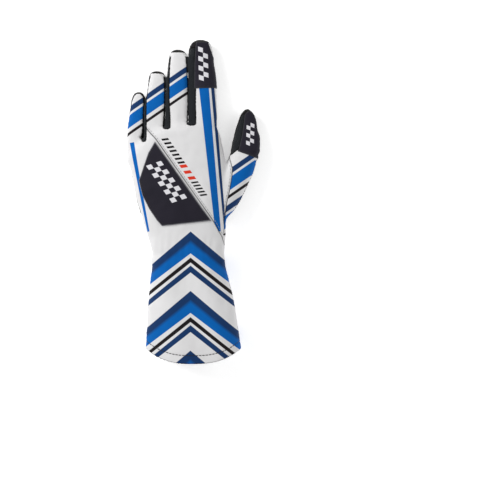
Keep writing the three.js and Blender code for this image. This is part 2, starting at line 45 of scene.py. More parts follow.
# The hand form: the soft shape that the sewn glove takes. A tube of rounded sections runs through
# the gauntlet and palm and one through each finger and the thumb. Each starts as a sphere whose
# circles are laid on the sections, and the tubes are then remeshed into one skin.
PALM_LENGTH = 75
HEEL_LENGTH = 42
GAUNTLET_LENGTH = 100
HEM_DEPTH = 7.5
HEM_BOW = 13
KNUCKLE_DROP = 30
WRIST_BREADTH = 65
HEM_BREADTH = 86
PALM_THICKNESS = 33
WRIST_THICKNESS = 27
HEM_THICKNESS = 38
FINGER_GAP = 0.9
HEM_SHIFT = 7.8
WRIST_SHIFT = 2.8
KNUCKLE_SHIFT = -11.8
FINGER_ARCH = 4.5
PALM_ARCH = 4
WRIST_LIFT = 3.5
PRESS = 0.9
FLOOR = 0.8
WALL = 1.4
HEM_WALL = 2.4
FINGERS = [
    {"name": "little", "breadth": 14.2, "depth": 16, "length": 44, "set_back": 0.22, "lean": 5},
    {"name": "ring", "breadth": 17.8, "depth": 18, "length": 48, "set_back": 0.03, "lean": 3.4},
    {"name": "middle", "breadth": 20.2, "depth": 19, "length": 66, "set_back": 0.01, "lean": 0.9},
    {"name": "index", "breadth": 25.8, "depth": 20, "length": 74, "set_back": 0, "lean": -1.8},
]
THUMB = {"breadth": 25.5, "depth": 20, "reach": 36, "rise": 109, "start": np.array([20.0, -22.0])}
# Share of the finger's length, then shares of its breadth and depth, height of its middle as a
# share of its depth, and share of the fingers' arch
FINGER_ROWS = np.array([
    (-0.35, 0.64, 0.9, 0.5, 1.1),
    (0, 0.97, 1, 0.5, 1),
    (0.25, 1, 1, 0.5, 0.8),
    (0.5, 0.95, 0.96, 0.48, 0.4),
    (0.7, 0.88, 0.9, 0.45, 0.12),
    (0.84, 0.82, 0.84, 0.42, 0),
    (0.93, 0.7, 0.72, 0.39, 0),
    (0.98, 0.48, 0.48, 0.38, 0),
    (1, 0.2, 0.2, 0.38, 0),
])
# Share of the thumb's rise and of its reach, then breadth, depth and height of its middle
THUMB_ROWS = np.array([
    (0.08, 0.1, 0.7, 0.9, 0.8),
    (0.22, 0.36, 1.02, 1.24, 0.68),
    (0.42, 0.69, 1.04, 1.22, 0.62),
    (0.59, 0.9, 0.98, 1.1, 0.56),
    (0.71, 0.975, 0.96, 1, 0.5),
    (0.81, 0.99, 0.83, 0.9, 0.45),
    (0.905, 1, 0.66, 0.76, 0.41),
    (0.965, 0.995, 0.45, 0.55, 0.38),
    (1, 0.985, 0.16, 0.22, 0.38),
])
# Share of the gauntlet's length, of its flare and of the hem's bow
GAUNTLET_ROWS = [(1, 1, 1), (0.7, 0.82, 0.55), (0.45, 0.56, 0.22), (0.22, 0.2, 0.05), (0, 0, 0)]
# Share of the length from wrist to knuckles, then of the way in breadth and in sideways place, of
# the palm's thickness, of its arch, and of the knuckles' slant
PALM_ROWS = [
    (0.12, 0.28, 0.07, 0.9, 0.4, 0),
    (0.25, 0.62, 0.24, 0.98, 0, 0),
    (0.42, 0.98, 0.36, 1, 0, 0),
    (0.59, 1.18, 0.52, 0.96, 0.1, 0.1),
    (0.735, 1.2, 0.66, 0.89, 0.35, 0.4),
    (0.87, 1.1, 0.86, 0.8, 0.75, 0.75),
    (0.96, 0.92, 1, 0.67, 1.2, 1),
    (1, 0.5, 1, 0.4, 2.1, 1),
]
HEM_CURVE = 2.6  # how squarely the hem's edge bows at its two ends
ROUNDNESS = 2.4  # of a section across a tube: 2 is an ellipse, more is squarer
THUMB_ROUNDNESS = 2.3
VOXEL = 0.75
SMOOTHING = 8
JOIN_SMOOTHING = 160
GAP_OPENING = 2.4  # how far the fingers are held apart while they are remeshed


def mix(a, b, share):
    return a + (b - a) * share


def smooth(rows, at):
    """The rows' values at the places in at, on one smooth curve. The first column is the place."""
    rows = np.asarray(rows, float)
    at = np.atleast_1d(np.asarray(at, float))
    place, value = rows[:, 0], rows[:, 1:]
    slope = np.gradient(value, place, axis=0)
    i = np.clip(np.searchsorted(place, at) - 1, 0, len(place) - 2)
    step = (place[i + 1] - place[i])[:, None]
    t = (at - place[i])[:, None] / step
    return (
        value[i] * (1 + 2 * t) * (1 - t) ** 2
        + value[i + 1] * t * t * (3 - 2 * t)
        + slope[i] * step * t * (1 - t) ** 2
        - slope[i + 1] * step * t * t * (1 - t)
    )


def finger_frame(finger, at):
    """Middle point, sideways and forward direction and half breadth at a share of the length."""
    lean = math.radians(finger["lean"])
    along = np.array([math.sin(lean), math.cos(lean)])
    across = np.array([along[1], -along[0]])
    half = np.interp(at, FINGER_ROWS[:, 0], FINGER_ROWS[:, 1]) * finger["breadth"] / 2
    return finger["root"] + along * at * finger["length"], across, along, half


def finger_edge(finger, at, way, inwards=0):
    middle, across, _, half = finger_frame(finger, at)
    return middle + across * way * (half - inwards)


for place, finger in enumerate(FINGERS):
    finger["root"] = np.array([0, PALM_LENGTH * (1 - finger["set_back"])])
    if place:
        before = FINGERS[place - 1]
        needs = []
        for at in FINGER_ROWS[1:7, 0]:
            edge = finger_edge(before, at, 1)
            level = max((edge[1] - finger["root"][1]) / finger["length"], 0)
            needs.append(edge[0] - finger_edge(finger, level, -1)[0])
        finger["root"][0] = max(needs) + FINGER_GAP
LITTLE, INDEX = FINGERS[0], FINGERS[-1]
knuckle_breadth = (
    INDEX["root"][0] + INDEX["breadth"] / 2 - LITTLE["root"][0] + LITTLE["breadth"] / 2
)
knuckle_left = KNUCKLE_SHIFT - knuckle_breadth / 2
move = knuckle_left + LITTLE["breadth"] / 2
for finger in FINGERS:
    finger["root"][0] += move


def knuckle_line(x):
    from_index = np.maximum(knuckle_left + knuckle_breadth - x, 0) / knuckle_breadth
    return PALM_LENGTH - KNUCKLE_DROP * from_index**4


def section(middle, across, breadth, depth, sides, roundness, rest):
    """One rounded section across a tube, pressed flat where it rests."""
    angle = 2 * np.pi * np.arange(sides) / sides
    u, v = (np.sign(f) * np.abs(f) ** (2 / roundness) for f in (np.cos(angle), np.sin(angle)))
    ring = np.empty((sides, 3))
    ring[:, :2] = middle[:2] + np.outer(u * breadth / 2, across)
    ring[:, 2] = np.maximum(middle[2] + v * depth / 2, rest)
    return ring


# Gauntlet and palm as one table by height along the hand: sideways place, height of the middle,
# breadth, depth, bow of the hem, slant of the knuckles and height of the rest
hand_table = []
for out, flare, bow in GAUNTLET_ROWS:
    depth = mix(WRIST_THICKNESS, HEM_THICKNESS, flare)
    hand_table.append((
        -HEEL_LENGTH - out * GAUNTLET_LENGTH,
        mix(WRIST_SHIFT, HEM_SHIFT, flare),
        mix(FLOOR + WRIST_LIFT, -PRESS, flare) + depth / 2,
        mix(WRIST_BREADTH, HEM_BREADTH, flare),
        depth,
        bow,
        0,
        mix(FLOOR, 0, flare),
    ))
for up, spread, shift, swell, lift, skew in PALM_ROWS:
    hand_table.append((
        up * (HEEL_LENGTH + PALM_LENGTH) - HEEL_LENGTH,
        mix(WRIST_SHIFT, KNUCKLE_SHIFT, shift),
        FLOOR - PRESS + lift * PALM_ARCH + swell * PALM_THICKNESS / 2,
        mix(WRIST_BREADTH, knuckle_breadth, spread),
        swell * PALM_THICKNESS,
        0,
        skew,
        FLOOR,
    ))


def hand_ring(y, sides=72, past=0):
    """The ring of the gauntlet or palm at one height along the hand, past is added below it."""
    x, z, breadth, depth, bow, skew, rest = smooth(hand_table, y)[0]
    ring = section(np.array([x, y - past, z]), np.array([1, 0]), breadth, depth, sides, ROUNDNESS, rest)
    side = np.abs(ring[:, 0] - x) / (breadth / 2)
    ring[:, 1] += HEM_BOW * bow * side**HEM_CURVE + skew * (knuckle_line(ring[:, 0]) - PALM_LENGTH)
    return ring


def finger_ring(finger, at, sides=40):
    breadth, depth, middle, rise = smooth(FINGER_ROWS, at)[0]
    point, across, _, _ = finger_frame(finger, at)
    z = FLOOR - PRESS + middle * finger["depth"] + rise * FINGER_ARCH
    sizes = (breadth * finger["breadth"], depth * finger["depth"])
    return section(np.array([*point, z]), across, *sizes, sides, ROUNDNESS, FLOOR)


def thumb_point(up):
    reach = smooth(THUMB_ROWS, up)[0][0]
    return THUMB["start"] + np.array([reach * THUMB["reach"], up * THUMB["rise"]])


def thumb_frame(up):
    along = thumb_point(min(up + 0.03, 1)) - thumb_point(max(up - 0.03, 0.08))
    along /= np.linalg.norm(along)
    half = np.interp(up, THUMB_ROWS[:, 0], THUMB_ROWS[:, 2]) * THUMB["breadth"] / 2
    return thumb_point(up), np.array([along[1], -along[0]]), along, half


def thumb_ring(up, sides=44):
    _, breadth, depth, middle = smooth(THUMB_ROWS, up)[0]
    point, across, _, _ = thumb_frame(up)
    z = FLOOR - PRESS + middle * THUMB["depth"]
    sizes = (breadth * THUMB["breadth"], depth * THUMB["depth"])
    return section(np.array([*point, z]), across, *sizes, sides, THUMB_ROUNDNESS, FLOOR)


def tube(rings):
    """A sphere whose circles are laid on the rings, and whose poles close its ends."""
    sides = len(rings[0])
    bpy.ops.mesh.primitive_uv_sphere_add(segments=sides, ring_count=len(rings) + 1)
    ball = bpy.context.object
    for vertex in ball.data.vertices:
        turn = math.acos(max(-1, min(1, vertex.co.z))) / math.pi * (len(rings) + 1)
        row = round(turn) - 1
        side = round(math.atan2(vertex.co.y, vertex.co.x) / (2 * math.pi) * sides) % sides
        if row < 0 or row >= len(rings):
            end = rings[0] if row < 0 else rings[-1]
            vertex.co = end.mean(axis=0)
        else:
            vertex.co = rings[row][side]
    return ball


HAND_STEP = 3
rings = [hand_ring(-HEEL_LENGTH - GAUNTLET_LENGTH, past=HEM_BOW + 6)]
rings += [hand_ring(y) for y in np.arange(-HEEL_LENGTH - GAUNTLET_LENGTH, PALM_LENGTH, HAND_STEP)]
rings.append(hand_ring(PALM_LENGTH))
tubes = [tube(rings)]
finger_places = np.concatenate([np.linspace(-0.35, 0.84, 26), 0.84 + 0.16 * np.sin(
    np.linspace(0, np.pi / 2, 10)[1:])])
for finger in FINGERS:
    tubes.append(tube([finger_ring(finger, at) for at in finger_places]))
thumb_places = np.concatenate([np.linspace(0.08, 0.9, 28), 0.9 + 0.1 * np.sin(
    np.linspace(0, np.pi / 2, 9)[1:])])
tubes.append(tube([thumb_ring(up) for up in thumb_places]))


def coords(mesh):
    found = np.empty(len(mesh.vertices) * 3)
    mesh.vertices.foreach_get("co", found)
    return found.reshape(-1, 3)


def set_coords(mesh, places):
    mesh.vertices.foreach_set("co", np.ascontiguousarray(places, float).ravel())
    mesh.update()


def normals(mesh):
    found = np.empty(len(mesh.vertices) * 3)
    mesh.vertex_normals.foreach_get("vector", found)
    return found.reshape(-1, 3)


# The free gaps between two fingers: the middle line of each, and where it starts above the palm
gaps = []
samples = np.linspace(-0.3, 1, 60)
for left, right in zip(FINGERS, FINGERS[1:]):
    a = np.array([finger_edge(left, at, 1) for at in samples])
    b = np.array([finger_edge(right, at, -1) for at in samples])
    level = np.linspace(a[0, 1], b[-1, 1] + 5, 80)
    of_b = np.interp(level, b[:, 1], b[:, 0])
    of_a = np.where(level < a[-1, 1], np.interp(level, a[:, 1], a[:, 0]), of_b - FINGER_GAP)
    line = np.where(of_b - of_a < 6, (of_a + of_b) / 2, of_b - FINGER_GAP / 2)
    start = knuckle_line(line[len(line) // 3])
    gaps.append((level, line, start))


def ramp(value, low, high):
    t = np.clip((value - low) / (high - low), 0, 1)
    return t * t * (3 - 2 * t)


def opened(x, y):
    """Where x moves to when the fingers are held apart."""
    moved = x.copy()
    for level, line, start in gaps:
        middle = np.interp(y, level, line)
        share = ramp(y, start - 14, start - 4)
        moved += GAP_OPENING * share * ramp(x, middle - FINGER_GAP / 2, middle + FINGER_GAP / 2)
    return moved


def closed(x, y):
    """The way back, found by halving."""
    low, high = x - GAP_OPENING * len(gaps) - 1, x + 1
    for _ in range(26):
        middle = (low + high) / 2
        over = opened(middle, y) > x
        high = np.where(over, middle, high)
        low = np.where(over, low, middle)
    return (low + high) / 2


def apply_modifier(piece, kind, **settings):
    """Adds a modifier with its settings and applies it."""
    bpy.context.view_layer.objects.active = piece
    modifier = piece.modifiers.new(kind.title(), kind)
    for name, value in settings.items():
        setattr(modifier, name, value)
    bpy.ops.object.modifier_apply(modifier=modifier.name)


bpy.ops.object.select_all(action="DESELECT")
for piece in tubes:
    piece.select_set(True)
bpy.context.view_layer.objects.active = tubes[0]
bpy.ops.object.join()
skin = bpy.context.object
skin.name = "hand_form"
places = coords(skin.data)
places[:, 0] = opened(places[:, 0], places[:, 1])
set_coords(skin.data, places)
apply_modifier(skin, "REMESH", mode="VOXEL", voxel_size=VOXEL)
apply_modifier(skin, "SMOOTH", factor=0.5, iterations=SMOOTHING)
# Where the tubes meet, at the knuckles and the thumb's root, the skin is smoothed further
places = coords(skin.data)
folded = closed(places[:, 0], places[:, 1])
past_knuckles = places[:, 1] - knuckle_line(folded)
joins = np.exp(-((past_knuckles + 3) / 9) ** 2)
joins = np.maximum(joins, np.exp(-((folded - 30) / 12) ** 2 - ((places[:, 1] - 8) / 26) ** 2))
group = skin.vertex_groups.new(name="joins")
for index, weight in enumerate(joins):
    if weight > 0.02:
        group.add([index], weight, "REPLACE")
apply_modifier(skin, "SMOOTH", factor=0.5, iterations=JOIN_SMOOTHING, vertex_group="joins")
places = coords(skin.data)
places[:, 0] = closed(places[:, 0], places[:, 1])
# Soft fingers lie against each other, so what is left of each gap is pressed shut
REACH = 7
ROW = 1.1
PRESSED = 0.7
BELOW_CROTCH = 12  # where the rows start
LOWEST_GAP = 7  # up from there, no gap is looked for
BESIDE_GAP = 5
OPEN_GAP = 0.8


def on_grid(grid, at):
    """Values of a grid's cells at places between their middles."""
    at = np.clip(at - 0.5, 0, np.array(grid.shape) - 1.001)
    (i, j), (s, t) = at.astype(int).T, (at % 1).T
    return mix(mix(grid[i, j], grid[i + 1, j], s), mix(grid[i, j + 1], grid[i + 1, j + 1], s), t)


for (level, line, start), finger in zip(gaps, FINGERS):
    offset = places[:, 0] - np.interp(places[:, 1], level, line)
    cell = np.stack([places[:, 1] - start + BELOW_CROTCH, places[:, 2]], axis=1) / ROW
    tip = finger["root"][1] + finger["length"]
    # Rows across the fingers in which the gap is wide open, and its middle in each
    row = np.floor(cell[:, 0])
    rows, middles = [], []
    for i in range(int(LOWEST_GAP / ROW), int((tip - start + BELOW_CROTCH) / ROW)):
        beside = np.sort(offset[(row == i) & (np.abs(offset) < BESIDE_GAP)])
        steps = np.append(np.diff(beside), 0)
        if steps.max() > OPEN_GAP:
            rows.append(i + 0.5)
            middles.append(beside[steps.argmax()] + steps.max() / 2)
    centre = np.interp(places[:, 1], level, line) + np.interp(cell[:, 0], rows, middles)
    parted = ramp(cell[:, 0], rows[0] - 2, rows[0] - 0.5)
    for way in (-1, 1, -1, 1):
        offset = places[:, 0] - centre
        near = (offset * way > 0) & (np.abs(offset) < REACH) & (cell[:, 0] >= 0)
        away, at = np.abs(offset[near]), cell[near]
        free = np.full(cell.max(axis=0).astype(int) + 2, REACH - 0.1)
        np.minimum.at(free, tuple(at.astype(int).T), away)
        closest = on_grid(np.repeat(free.min(axis=1)[:, None], free.shape[1], axis=1), at)
        free = on_grid(free, at)
        pull = np.clip(np.minimum(free, closest + PRESSED) - 0.03, 0, 3)
        pull *= parted[near] * (1 - ramp(places[near, 1], tip - 9, tip - 3))
        places[near, 0] -= way * pull * (1 - ramp(away, free, REACH))
set_coords(skin.data, places)

# Folds of the worn cloth, pressed into the skin before it is cut into panels: gathers that fan out
# from the elastic at the wrist, creases at the finger joints, pulls round the thumb and soft waves.
ELASTIC_ROWS = (-33, -44)
GATHER = 0.75
FINGER_JOINTS = (0.42, 0.72)
CREASES = (-2.6, 0, 2.6)


def bell(value, width):
    return np.exp(-((value / width) ** 2))


def folds(places, outward):
    x, y, _ = places.T
    under = ramp(-outward[:, 2], -0.35, 0.45)
    # Gathers over the elastic, on the palm side, that fan out towards the hem
    middle = np.mean(ELASTIC_ROWS)
    fan = 1 + 0.35 * ramp(-y, 38, 120)
    wave = np.sin((x - WRIST_SHIFT) / fan * 1.02 + 1.3 * np.sin(y * 0.11) + 0.4 * np.sin(x * 0.31))
    near = bell(y - middle, 11) + 0.45 * bell(y - middle + 22, 24)
    depth = GATHER * wave * near * (0.15 + 0.85 * under)
    for row in ELASTIC_ROWS:
        depth -= 0.55 * under * bell(y - row, 2.2)
    # Long soft waves down the gauntlet's back, and short ones across the wrist
    back = 1 - under
    depth += 0.9 * back * ramp(-y, 30, 60) * np.sin(x * 0.17 + y * 0.035 + 0.6)
    depth += 0.6 * back * bell(y + 50, 12) * np.sin(y * 0.42 + x * 0.09)
    # Creases across the fingers at their joints, deeper on the palm side
    for finger in FINGERS:
        root, across, along, _ = finger_frame(finger, 0)
        side, level = ((places[:, :2] - root) @ np.stack([across, along], axis=1)).T
        inside = (np.abs(side) < finger["breadth"] * 0.56) & (level > 4)
        for joint in FINGER_JOINTS:
            for shift in CREASES:
                line = level - joint * finger["length"] - shift + 0.5 * np.sin(side * 0.5 + shift)
                depth -= inside * (0.08 + 0.3 * under) * bell(line, 0.85)
    # Pulls between thumb and palm, and bends across the thumb
    pull = bell(x - 33, 13) * bell(y - 10, 20)
    depth += 0.6 * pull * np.sin((x - 24) * 0.3 + (y - 6) * 0.46 + 0.3 * np.sin(x * 0.3))
    depth += 0.35 * bell(y - 44, 7) * ramp(x, 36, 44) * np.sin((y + 0.35 * x) * 0.9)
    # Unevenness of a soft stuffing
    for size, strength in ((19, 0.9), (7, 0.28)):
        depth += strength * np.array([noise.noise(Vector(place) / size) for place in places])
    return depth


places = coords(skin.data)
outward = normals(skin.data)
lowest = smooth(hand_table, np.clip(places[:, 1], -HEEL_LENGTH - GAUNTLET_LENGTH, PALM_LENGTH))[:, 6]
places += outward * folds(places, outward)[:, None]
places[:, 2] = np.maximum(places[:, 2], lowest)
set_coords(skin.data, places)

# Cutting the skin into panels. Each cutter is a block over an outline drawn in plan; the faces
# that a cut makes are deleted again, so that a panel starts as an open patch of the skin.
SEAM = 0.12  # gap between two panels
FAR = 300
cut_face = bpy.data.materials.new("cut_face")
skin.data.materials.append(bpy.data.materials.new("skin_face"))


def edit_alone(piece, selected):
    """Goes into edit mode on one piece, with all of it selected or nothing."""
    bpy.ops.object.select_all(action="DESELECT")
    piece.select_set(True)
    bpy.context.view_layer.objects.active = piece
    bpy.ops.object.mode_set(mode="EDIT")
    bpy.ops.mesh.select_all(action="SELECT" if selected else "DESELECT")


def closed_piece(name, points, faces):
    """A new piece of points and faces, with its faces turned outwards."""
    mesh = bpy.data.meshes.new(name)
    mesh.from_pydata(points, [], faces)
    piece = bpy.data.objects.new(name, mesh)
    bpy.context.collection.objects.link(piece)
    edit_alone(piece, selected=True)
    bpy.ops.mesh.normals_make_consistent(inside=False)
    bpy.ops.object.mode_set(mode="OBJECT")
    return piece


def block(outline, lying=False):
    """An upright block over an outline in plan, or a lying one along X over one in Y and Z."""
    count = len(outline)
    points = [(end, *p) if lying else (*p, end) for end in (-FAR, FAR) for p in outline]
    faces = [tuple(range(count)), tuple(range(count, 2 * count))]
    faces += [(i, (i + 1) % count, count + (i + 1) % count, count + i) for i in range(count)]
    piece = closed_piece("cutter", points, faces)
    piece.data.materials.append(cut_face)
    return piece


def moved(outline, distance):
    """An outline in plan moved outwards by a distance."""
    points = np.asarray(outline, float)
    after = np.roll(points, -1, axis=0) - points
    area = np.sum(points[:, 0] * np.roll(points[:, 1], -1) - points[:, 1] * np.roll(points[:, 0], -1))
    n = np.stack([after[:, 1], -after[:, 0]], axis=1) / np.linalg.norm(after, axis=1)[:, None]
    n *= np.sign(area)
    before = np.roll(n, 1, axis=0)
    share = distance / np.maximum(1 + np.sum(n * before, axis=1), 0.3)
    return points + (n + before) * share[:, None]


def cut(piece, operation, cutter, keep_cutter=False):
    apply_modifier(
        piece, "BOOLEAN", operation=operation, object=cutter, solver="MANIFOLD",
        material_mode="TRANSFER",
    )
    if not keep_cutter:
        bpy.data.objects.remove(cutter)


def copied(piece, name):
    twin = piece.copy()
    twin.data = piece.data.copy()
    twin.name = name
    bpy.context.collection.objects.link(twin)
    return twin


def part_off(whole, outline, name):
    """Cuts the piece inside the outline out of the whole, which keeps the rest."""
    piece = copied(whole, name)
    cut(piece, "INTERSECT", block(moved(outline, -SEAM / 2)))
    cut(whole, "DIFFERENCE", block(moved(outline, SEAM / 2)))
    return piece


def on_tube(frame_at, pairs):
    """An outline on a finger or the thumb, from shares along it and across it from -1 to 1."""
    outline = []
    for at, side in pairs:
        middle, across, _, half = frame_at(at)
        outline.append(middle + across * side * half)
    return outline


def in_plan(pairs):
    """Points from shares of the knuckles' breadth and of the palm's length."""
    return [np.array([knuckle_left + a * knuckle_breadth, b * PALM_LENGTH]) for a, b in pairs]


# The side seam as a line in Y and Z. Over the fingertips the suede reaches a little further up.
SIDE_SEAM = [
    (-FAR, FLOOR + HEM_THICKNESS / 2),
    (-HEEL_LENGTH - GAUNTLET_LENGTH, FLOOR + HEM_THICKNESS / 2),
    (-HEEL_LENGTH, FLOOR + WRIST_LIFT + WRIST_THICKNESS * 0.45),
    (0, FLOOR + PALM_THICKNESS * 0.42),
    (PALM_LENGTH / 2, FLOOR + PALM_THICKNESS * 0.38),
    (PALM_LENGTH, FLOOR + PALM_ARCH + PALM_THICKNESS * 0.22),
    (PALM_LENGTH + INDEX["length"], FLOOR + INDEX["depth"] * 0.38),
    (FAR, FLOOR + INDEX["depth"] * 0.38),
]
TIP_WRAP = 0.965


def tip_block(finger, grow):
    outline = on_tube(lambda at: finger_frame(finger, at), [(TIP_WRAP, -1.06), (TIP_WRAP, 1.06)])
    past = finger_frame(finger, 0)[2] * 20
    outline += [outline[1] + past, outline[0] + past]
    return block(moved(outline, grow))


def half(way):
    line = [(y, z + way * SEAM / 2) for y, z in SIDE_SEAM]
    piece = block(line + [(FAR, way * FAR), (-FAR, way * FAR)], lying=True)
    for finger in FINGERS:
        cut(piece, "DIFFERENCE" if way > 0 else "UNION", tip_block(finger, way * SEAM / 2))
    return piece


# The hem's edge: everything beyond its bow is cut away
def hem_edge(x):
    """How far along the hand the hem's edge lies at each place sideways."""
    side = np.abs(x - HEM_SHIFT) / (HEM_BREADTH / 2)
    return HEM_BOW * side**HEM_CURVE - HEEL_LENGTH - GAUNTLET_LENGTH


across_hem = np.linspace(-80, 90, 35)
hem_line = list(zip(across_hem, hem_edge(across_hem)))
cut(skin, "INTERSECT", block(hem_line + [(FAR, FAR), (-FAR, FAR)]))
upper = copied(skin, "upper")
cut(upper, "INTERSECT", half(1))
lower = copied(skin, "lower")
cut(lower, "INTERSECT", half(-1))
upper_skin = copied(upper, "upper_skin")
lower_skin = copied(lower, "lower_skin")

FOURCHETTES = [
    {"fingers": (0, 1), "show": (0.1, 0.02, 0.02)},
    {"fingers": (1, 2), "show": (0.21, 0.12, 0.05)},
    {"fingers": (2, 3), "show": (0.26, 0.29, 0.2)},
]
FOURCHETTE_TUCK = 0.25
FOURCHETTE_END = 0.9
CROTCH_DEPTH = 3.5
GUSSET = [
    (0.585, -0.92), (0.66, -0.42), (0.78, -0.34), (0.9, -0.3),
    (0.955, -0.35), (0.95, -1.5), (0.8, -1.25), (0.66, -1.15),
]
SLANT_SEAM = [(0.19, 0.945), (0.328, 0.787), (0.955, -0.187), (1.055, -0.387), (1.1, -0.56)]
THUMB_SEAM = [
    (1.12, 0.6), (1.165, 0.436), (1.16, 0.344), (1.135, 0.172), (1.1, 0), (1.08, -0.2), (1.07, -0.36),
]
WRIST_SEAM = [(-0.2, -0.1), (0.12, -0.22), (0.42, -0.28), (0.75, -0.28), (1.05, -0.22), (1.6, -0.1)]


def fourchette_outline(strip):
    a, b = (FINGERS[i] for i in strip["fingers"])
    up = np.linspace(0.05, FOURCHETTE_END, 7)
    shown = b["breadth"] * np.interp(up, np.linspace(0.05, FOURCHETTE_END, 3), strip["show"])
    side_b = [finger_edge(b, at, -1, width) for at, width in zip(up, shown)]
    side_a = [finger_edge(a, at, 1, FOURCHETTE_TUCK) for at in up]
    bottom = min(knuckle_line(side_a[0][0]), side_a[0][1], side_b[0][1]) - CROTCH_DEPTH
    left, right = side_a[0][0], side_b[0][0]
    level = (side_a[-1][1] - b["root"][1]) / b["length"]
    turn = [
        (mix(left, right, 0.5 + 0.5 * math.cos(t)), bottom + 1.6 * (1 - math.sin(t)))
        for t in np.linspace(0, math.pi, 9)
    ]
    past = [finger_edge(b, at, -1, -FINGER_GAP / 2) for at in (level, FOURCHETTE_END)]
    return side_b[::-1] + turn + side_a + past


fourchettes = []
for strip in FOURCHETTES:
    name = "sewn_fourchette_" + "_".join(FINGERS[i]["name"] for i in strip["fingers"])
    fourchettes.append(part_off(upper, fourchette_outline(strip), name))
gusset = part_off(upper, on_tube(thumb_frame, GUSSET), "sewn_thumb_gusset")
ring = FINGERS[1]
gap_x = (LITTLE["root"][0] + LITTLE["breadth"] / 2 + ring["root"][0] - ring["breadth"] / 2) / 2
lean = math.tan(math.radians((LITTLE["lean"] + ring["lean"]) / 2))
top = LITTLE["root"][1] + LITTLE["length"] + 10
slant = in_plan(SLANT_SEAM)
gauntlet_outline = [
    (gap_x + lean * (top - LITTLE["root"][1]), top),
    (gap_x + 1, slant[0][1]),
    *slant[1:],
    (FAR, slant[-1][1]),
    (FAR, -FAR),
    (-FAR, -FAR),
    (-FAR, top),
]
gauntlet_back = part_off(upper, gauntlet_outline, "sewn_gauntlet_back")
line = in_plan(THUMB_SEAM)
thumb_outline = [(line[0][0], FAR), *line, (FAR, line[-1][1]), (FAR, FAR)]
thumb_panel = part_off(upper, thumb_outline, "sewn_thumb")
upper.name = "sewn_back"
back_panel = upper
wrist_outline = [*in_plan(WRIST_SEAM), (FAR, -FAR), (-FAR, -FAR)]
gauntlet_front = part_off(lower, wrist_outline, "sewn_gauntlet_front")
lower.name = "sewn_palm"
palm_panel = lower

# Every panel is finished in the same way: its cut edges are turned in and sewn, so that a seam is
# a narrow valley with slightly puckered sides, and the cloth gets its real thickness inwards.
PUCKER = 0.16
PUCKER_LENGTH = 3.1
EDGE_REACH = 10


def open_patch(piece):
    """Deletes the faces that the cuts made, and what little was left loose."""
    edit_alone(piece, selected=False)
    piece.active_material_index = piece.data.materials.find("cut_face")
    bpy.ops.object.material_slot_select()
    bpy.ops.mesh.delete(type="FACE")
    bpy.ops.mesh.select_all(action="SELECT")
    bpy.ops.mesh.remove_doubles(threshold=0.03)
    bpy.ops.mesh.delete_loose()
    bpy.ops.object.mode_set(mode="OBJECT")
    piece.data.materials.clear()


def edge_distance(mesh):
    """How far each vertex lies from the patch's open edge."""
    used = np.zeros(len(mesh.edges), int)
    loops = np.empty(len(mesh.loops), int)
    mesh.loops.foreach_get("edge_index", loops)
    np.add.at(used, loops, 1)
    ends = np.empty(len(mesh.edges) * 2, int)
    mesh.edges.foreach_get("vertices", ends)
    border = ends.reshape(-1, 2)[used == 1]
    places = coords(mesh)
    seeds = np.concatenate([places[border[:, 0]], places[border].mean(axis=1)])
    tree = KDTree(len(seeds))
    for i, seed in enumerate(seeds):
        tree.insert(seed, i)
    tree.balance()
    return np.array([min(tree.find(place)[2], EDGE_REACH) for place in places])


def turned_in(distance, radius):
    """How deep a rounded edge lies below the face at a distance from it."""
    inwards = np.clip(radius - distance, 0, radius)
    return radius - np.sqrt(np.maximum(radius**2 - inwards**2, 0))


def sew(piece, wall=WALL, radius=0.8, hem=False, lift=0, outwards=False, pucker=PUCKER):
    """Turns an open patch into a finished piece of cloth or rubber. Returns its area."""
    open_patch(piece)
    mesh = piece.data
    distance = edge_distance(mesh)
    outward = normals(mesh)
    places = coords(mesh)
    wave = np.sin(2 * np.pi * (places[:, 0] + 0.7 * places[:, 1] + 0.5 * places[:, 2]) / PUCKER_LENGTH)
    places += outward * (lift + pucker * wave * np.exp(-distance / 2.2))[:, None]
    set_coords(mesh, places)
    area = sum(face.area for face in mesh.polygons) * mm * mm
    settings = {}
    if hem:
        # The hem is two layers thick, and sewn down along its upper edge
        from_hem = places[:, 1] - hem_edge(places[:, 0])
        thick = piece.vertex_groups.new(name="hem")
        for i, height in enumerate(from_hem):
            thick.add([i], 1 if height < HEM_DEPTH else WALL / HEM_WALL, "REPLACE")
        settings = {"vertex_group": "hem"}
        wall = HEM_WALL
    count = len(places)
    apply_modifier(piece, "SOLIDIFY", thickness=wall, offset=1 if outwards else -1, **settings)
    places = coords(mesh)
    first, second = places[:count], places[count:2 * count]
    outer = first if np.sum((first - second) * outward) > 0 else second
    depth = turned_in(distance, radius)
    if hem:
        depth += 0.3 * bell(from_hem - HEM_DEPTH, 0.9)
    outer -= outward * depth[:, None]
    set_coords(mesh, places)
    # Two attributes for the material: distance from the seam, and 1 on the side inside the glove
    values = np.zeros(len(places))
    values[:2 * count] = np.tile(distance, 2)
    inner = np.zeros(len(places))
    inner[count:2 * count] = 1
    if outer is second:
        inner[:2 * count] = 1 - inner[:2 * count]
    for name, numbers in (("seam", values), ("inside", inner)):
        mesh.attributes.new(name, "FLOAT", "POINT").data.foreach_set("value", numbers)
    return area


def finish_piece(piece, material, slot, *nodes):
    """Puts a finished mesh into metres, gives it its material and hands it to the frame."""
    for _ in range(len(piece.data.materials)):
        piece.data.materials.pop()
    piece.data.materials.append(material)
    piece.vertex_groups.clear()
    places = coords(piece.data)
    places[:, 2] = np.maximum(places[:, 2], 0)
    set_coords(piece.data, places * mm)
    piece.data.shade_smooth()
    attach(piece, "root")
    if nodes:
        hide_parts(*nodes)


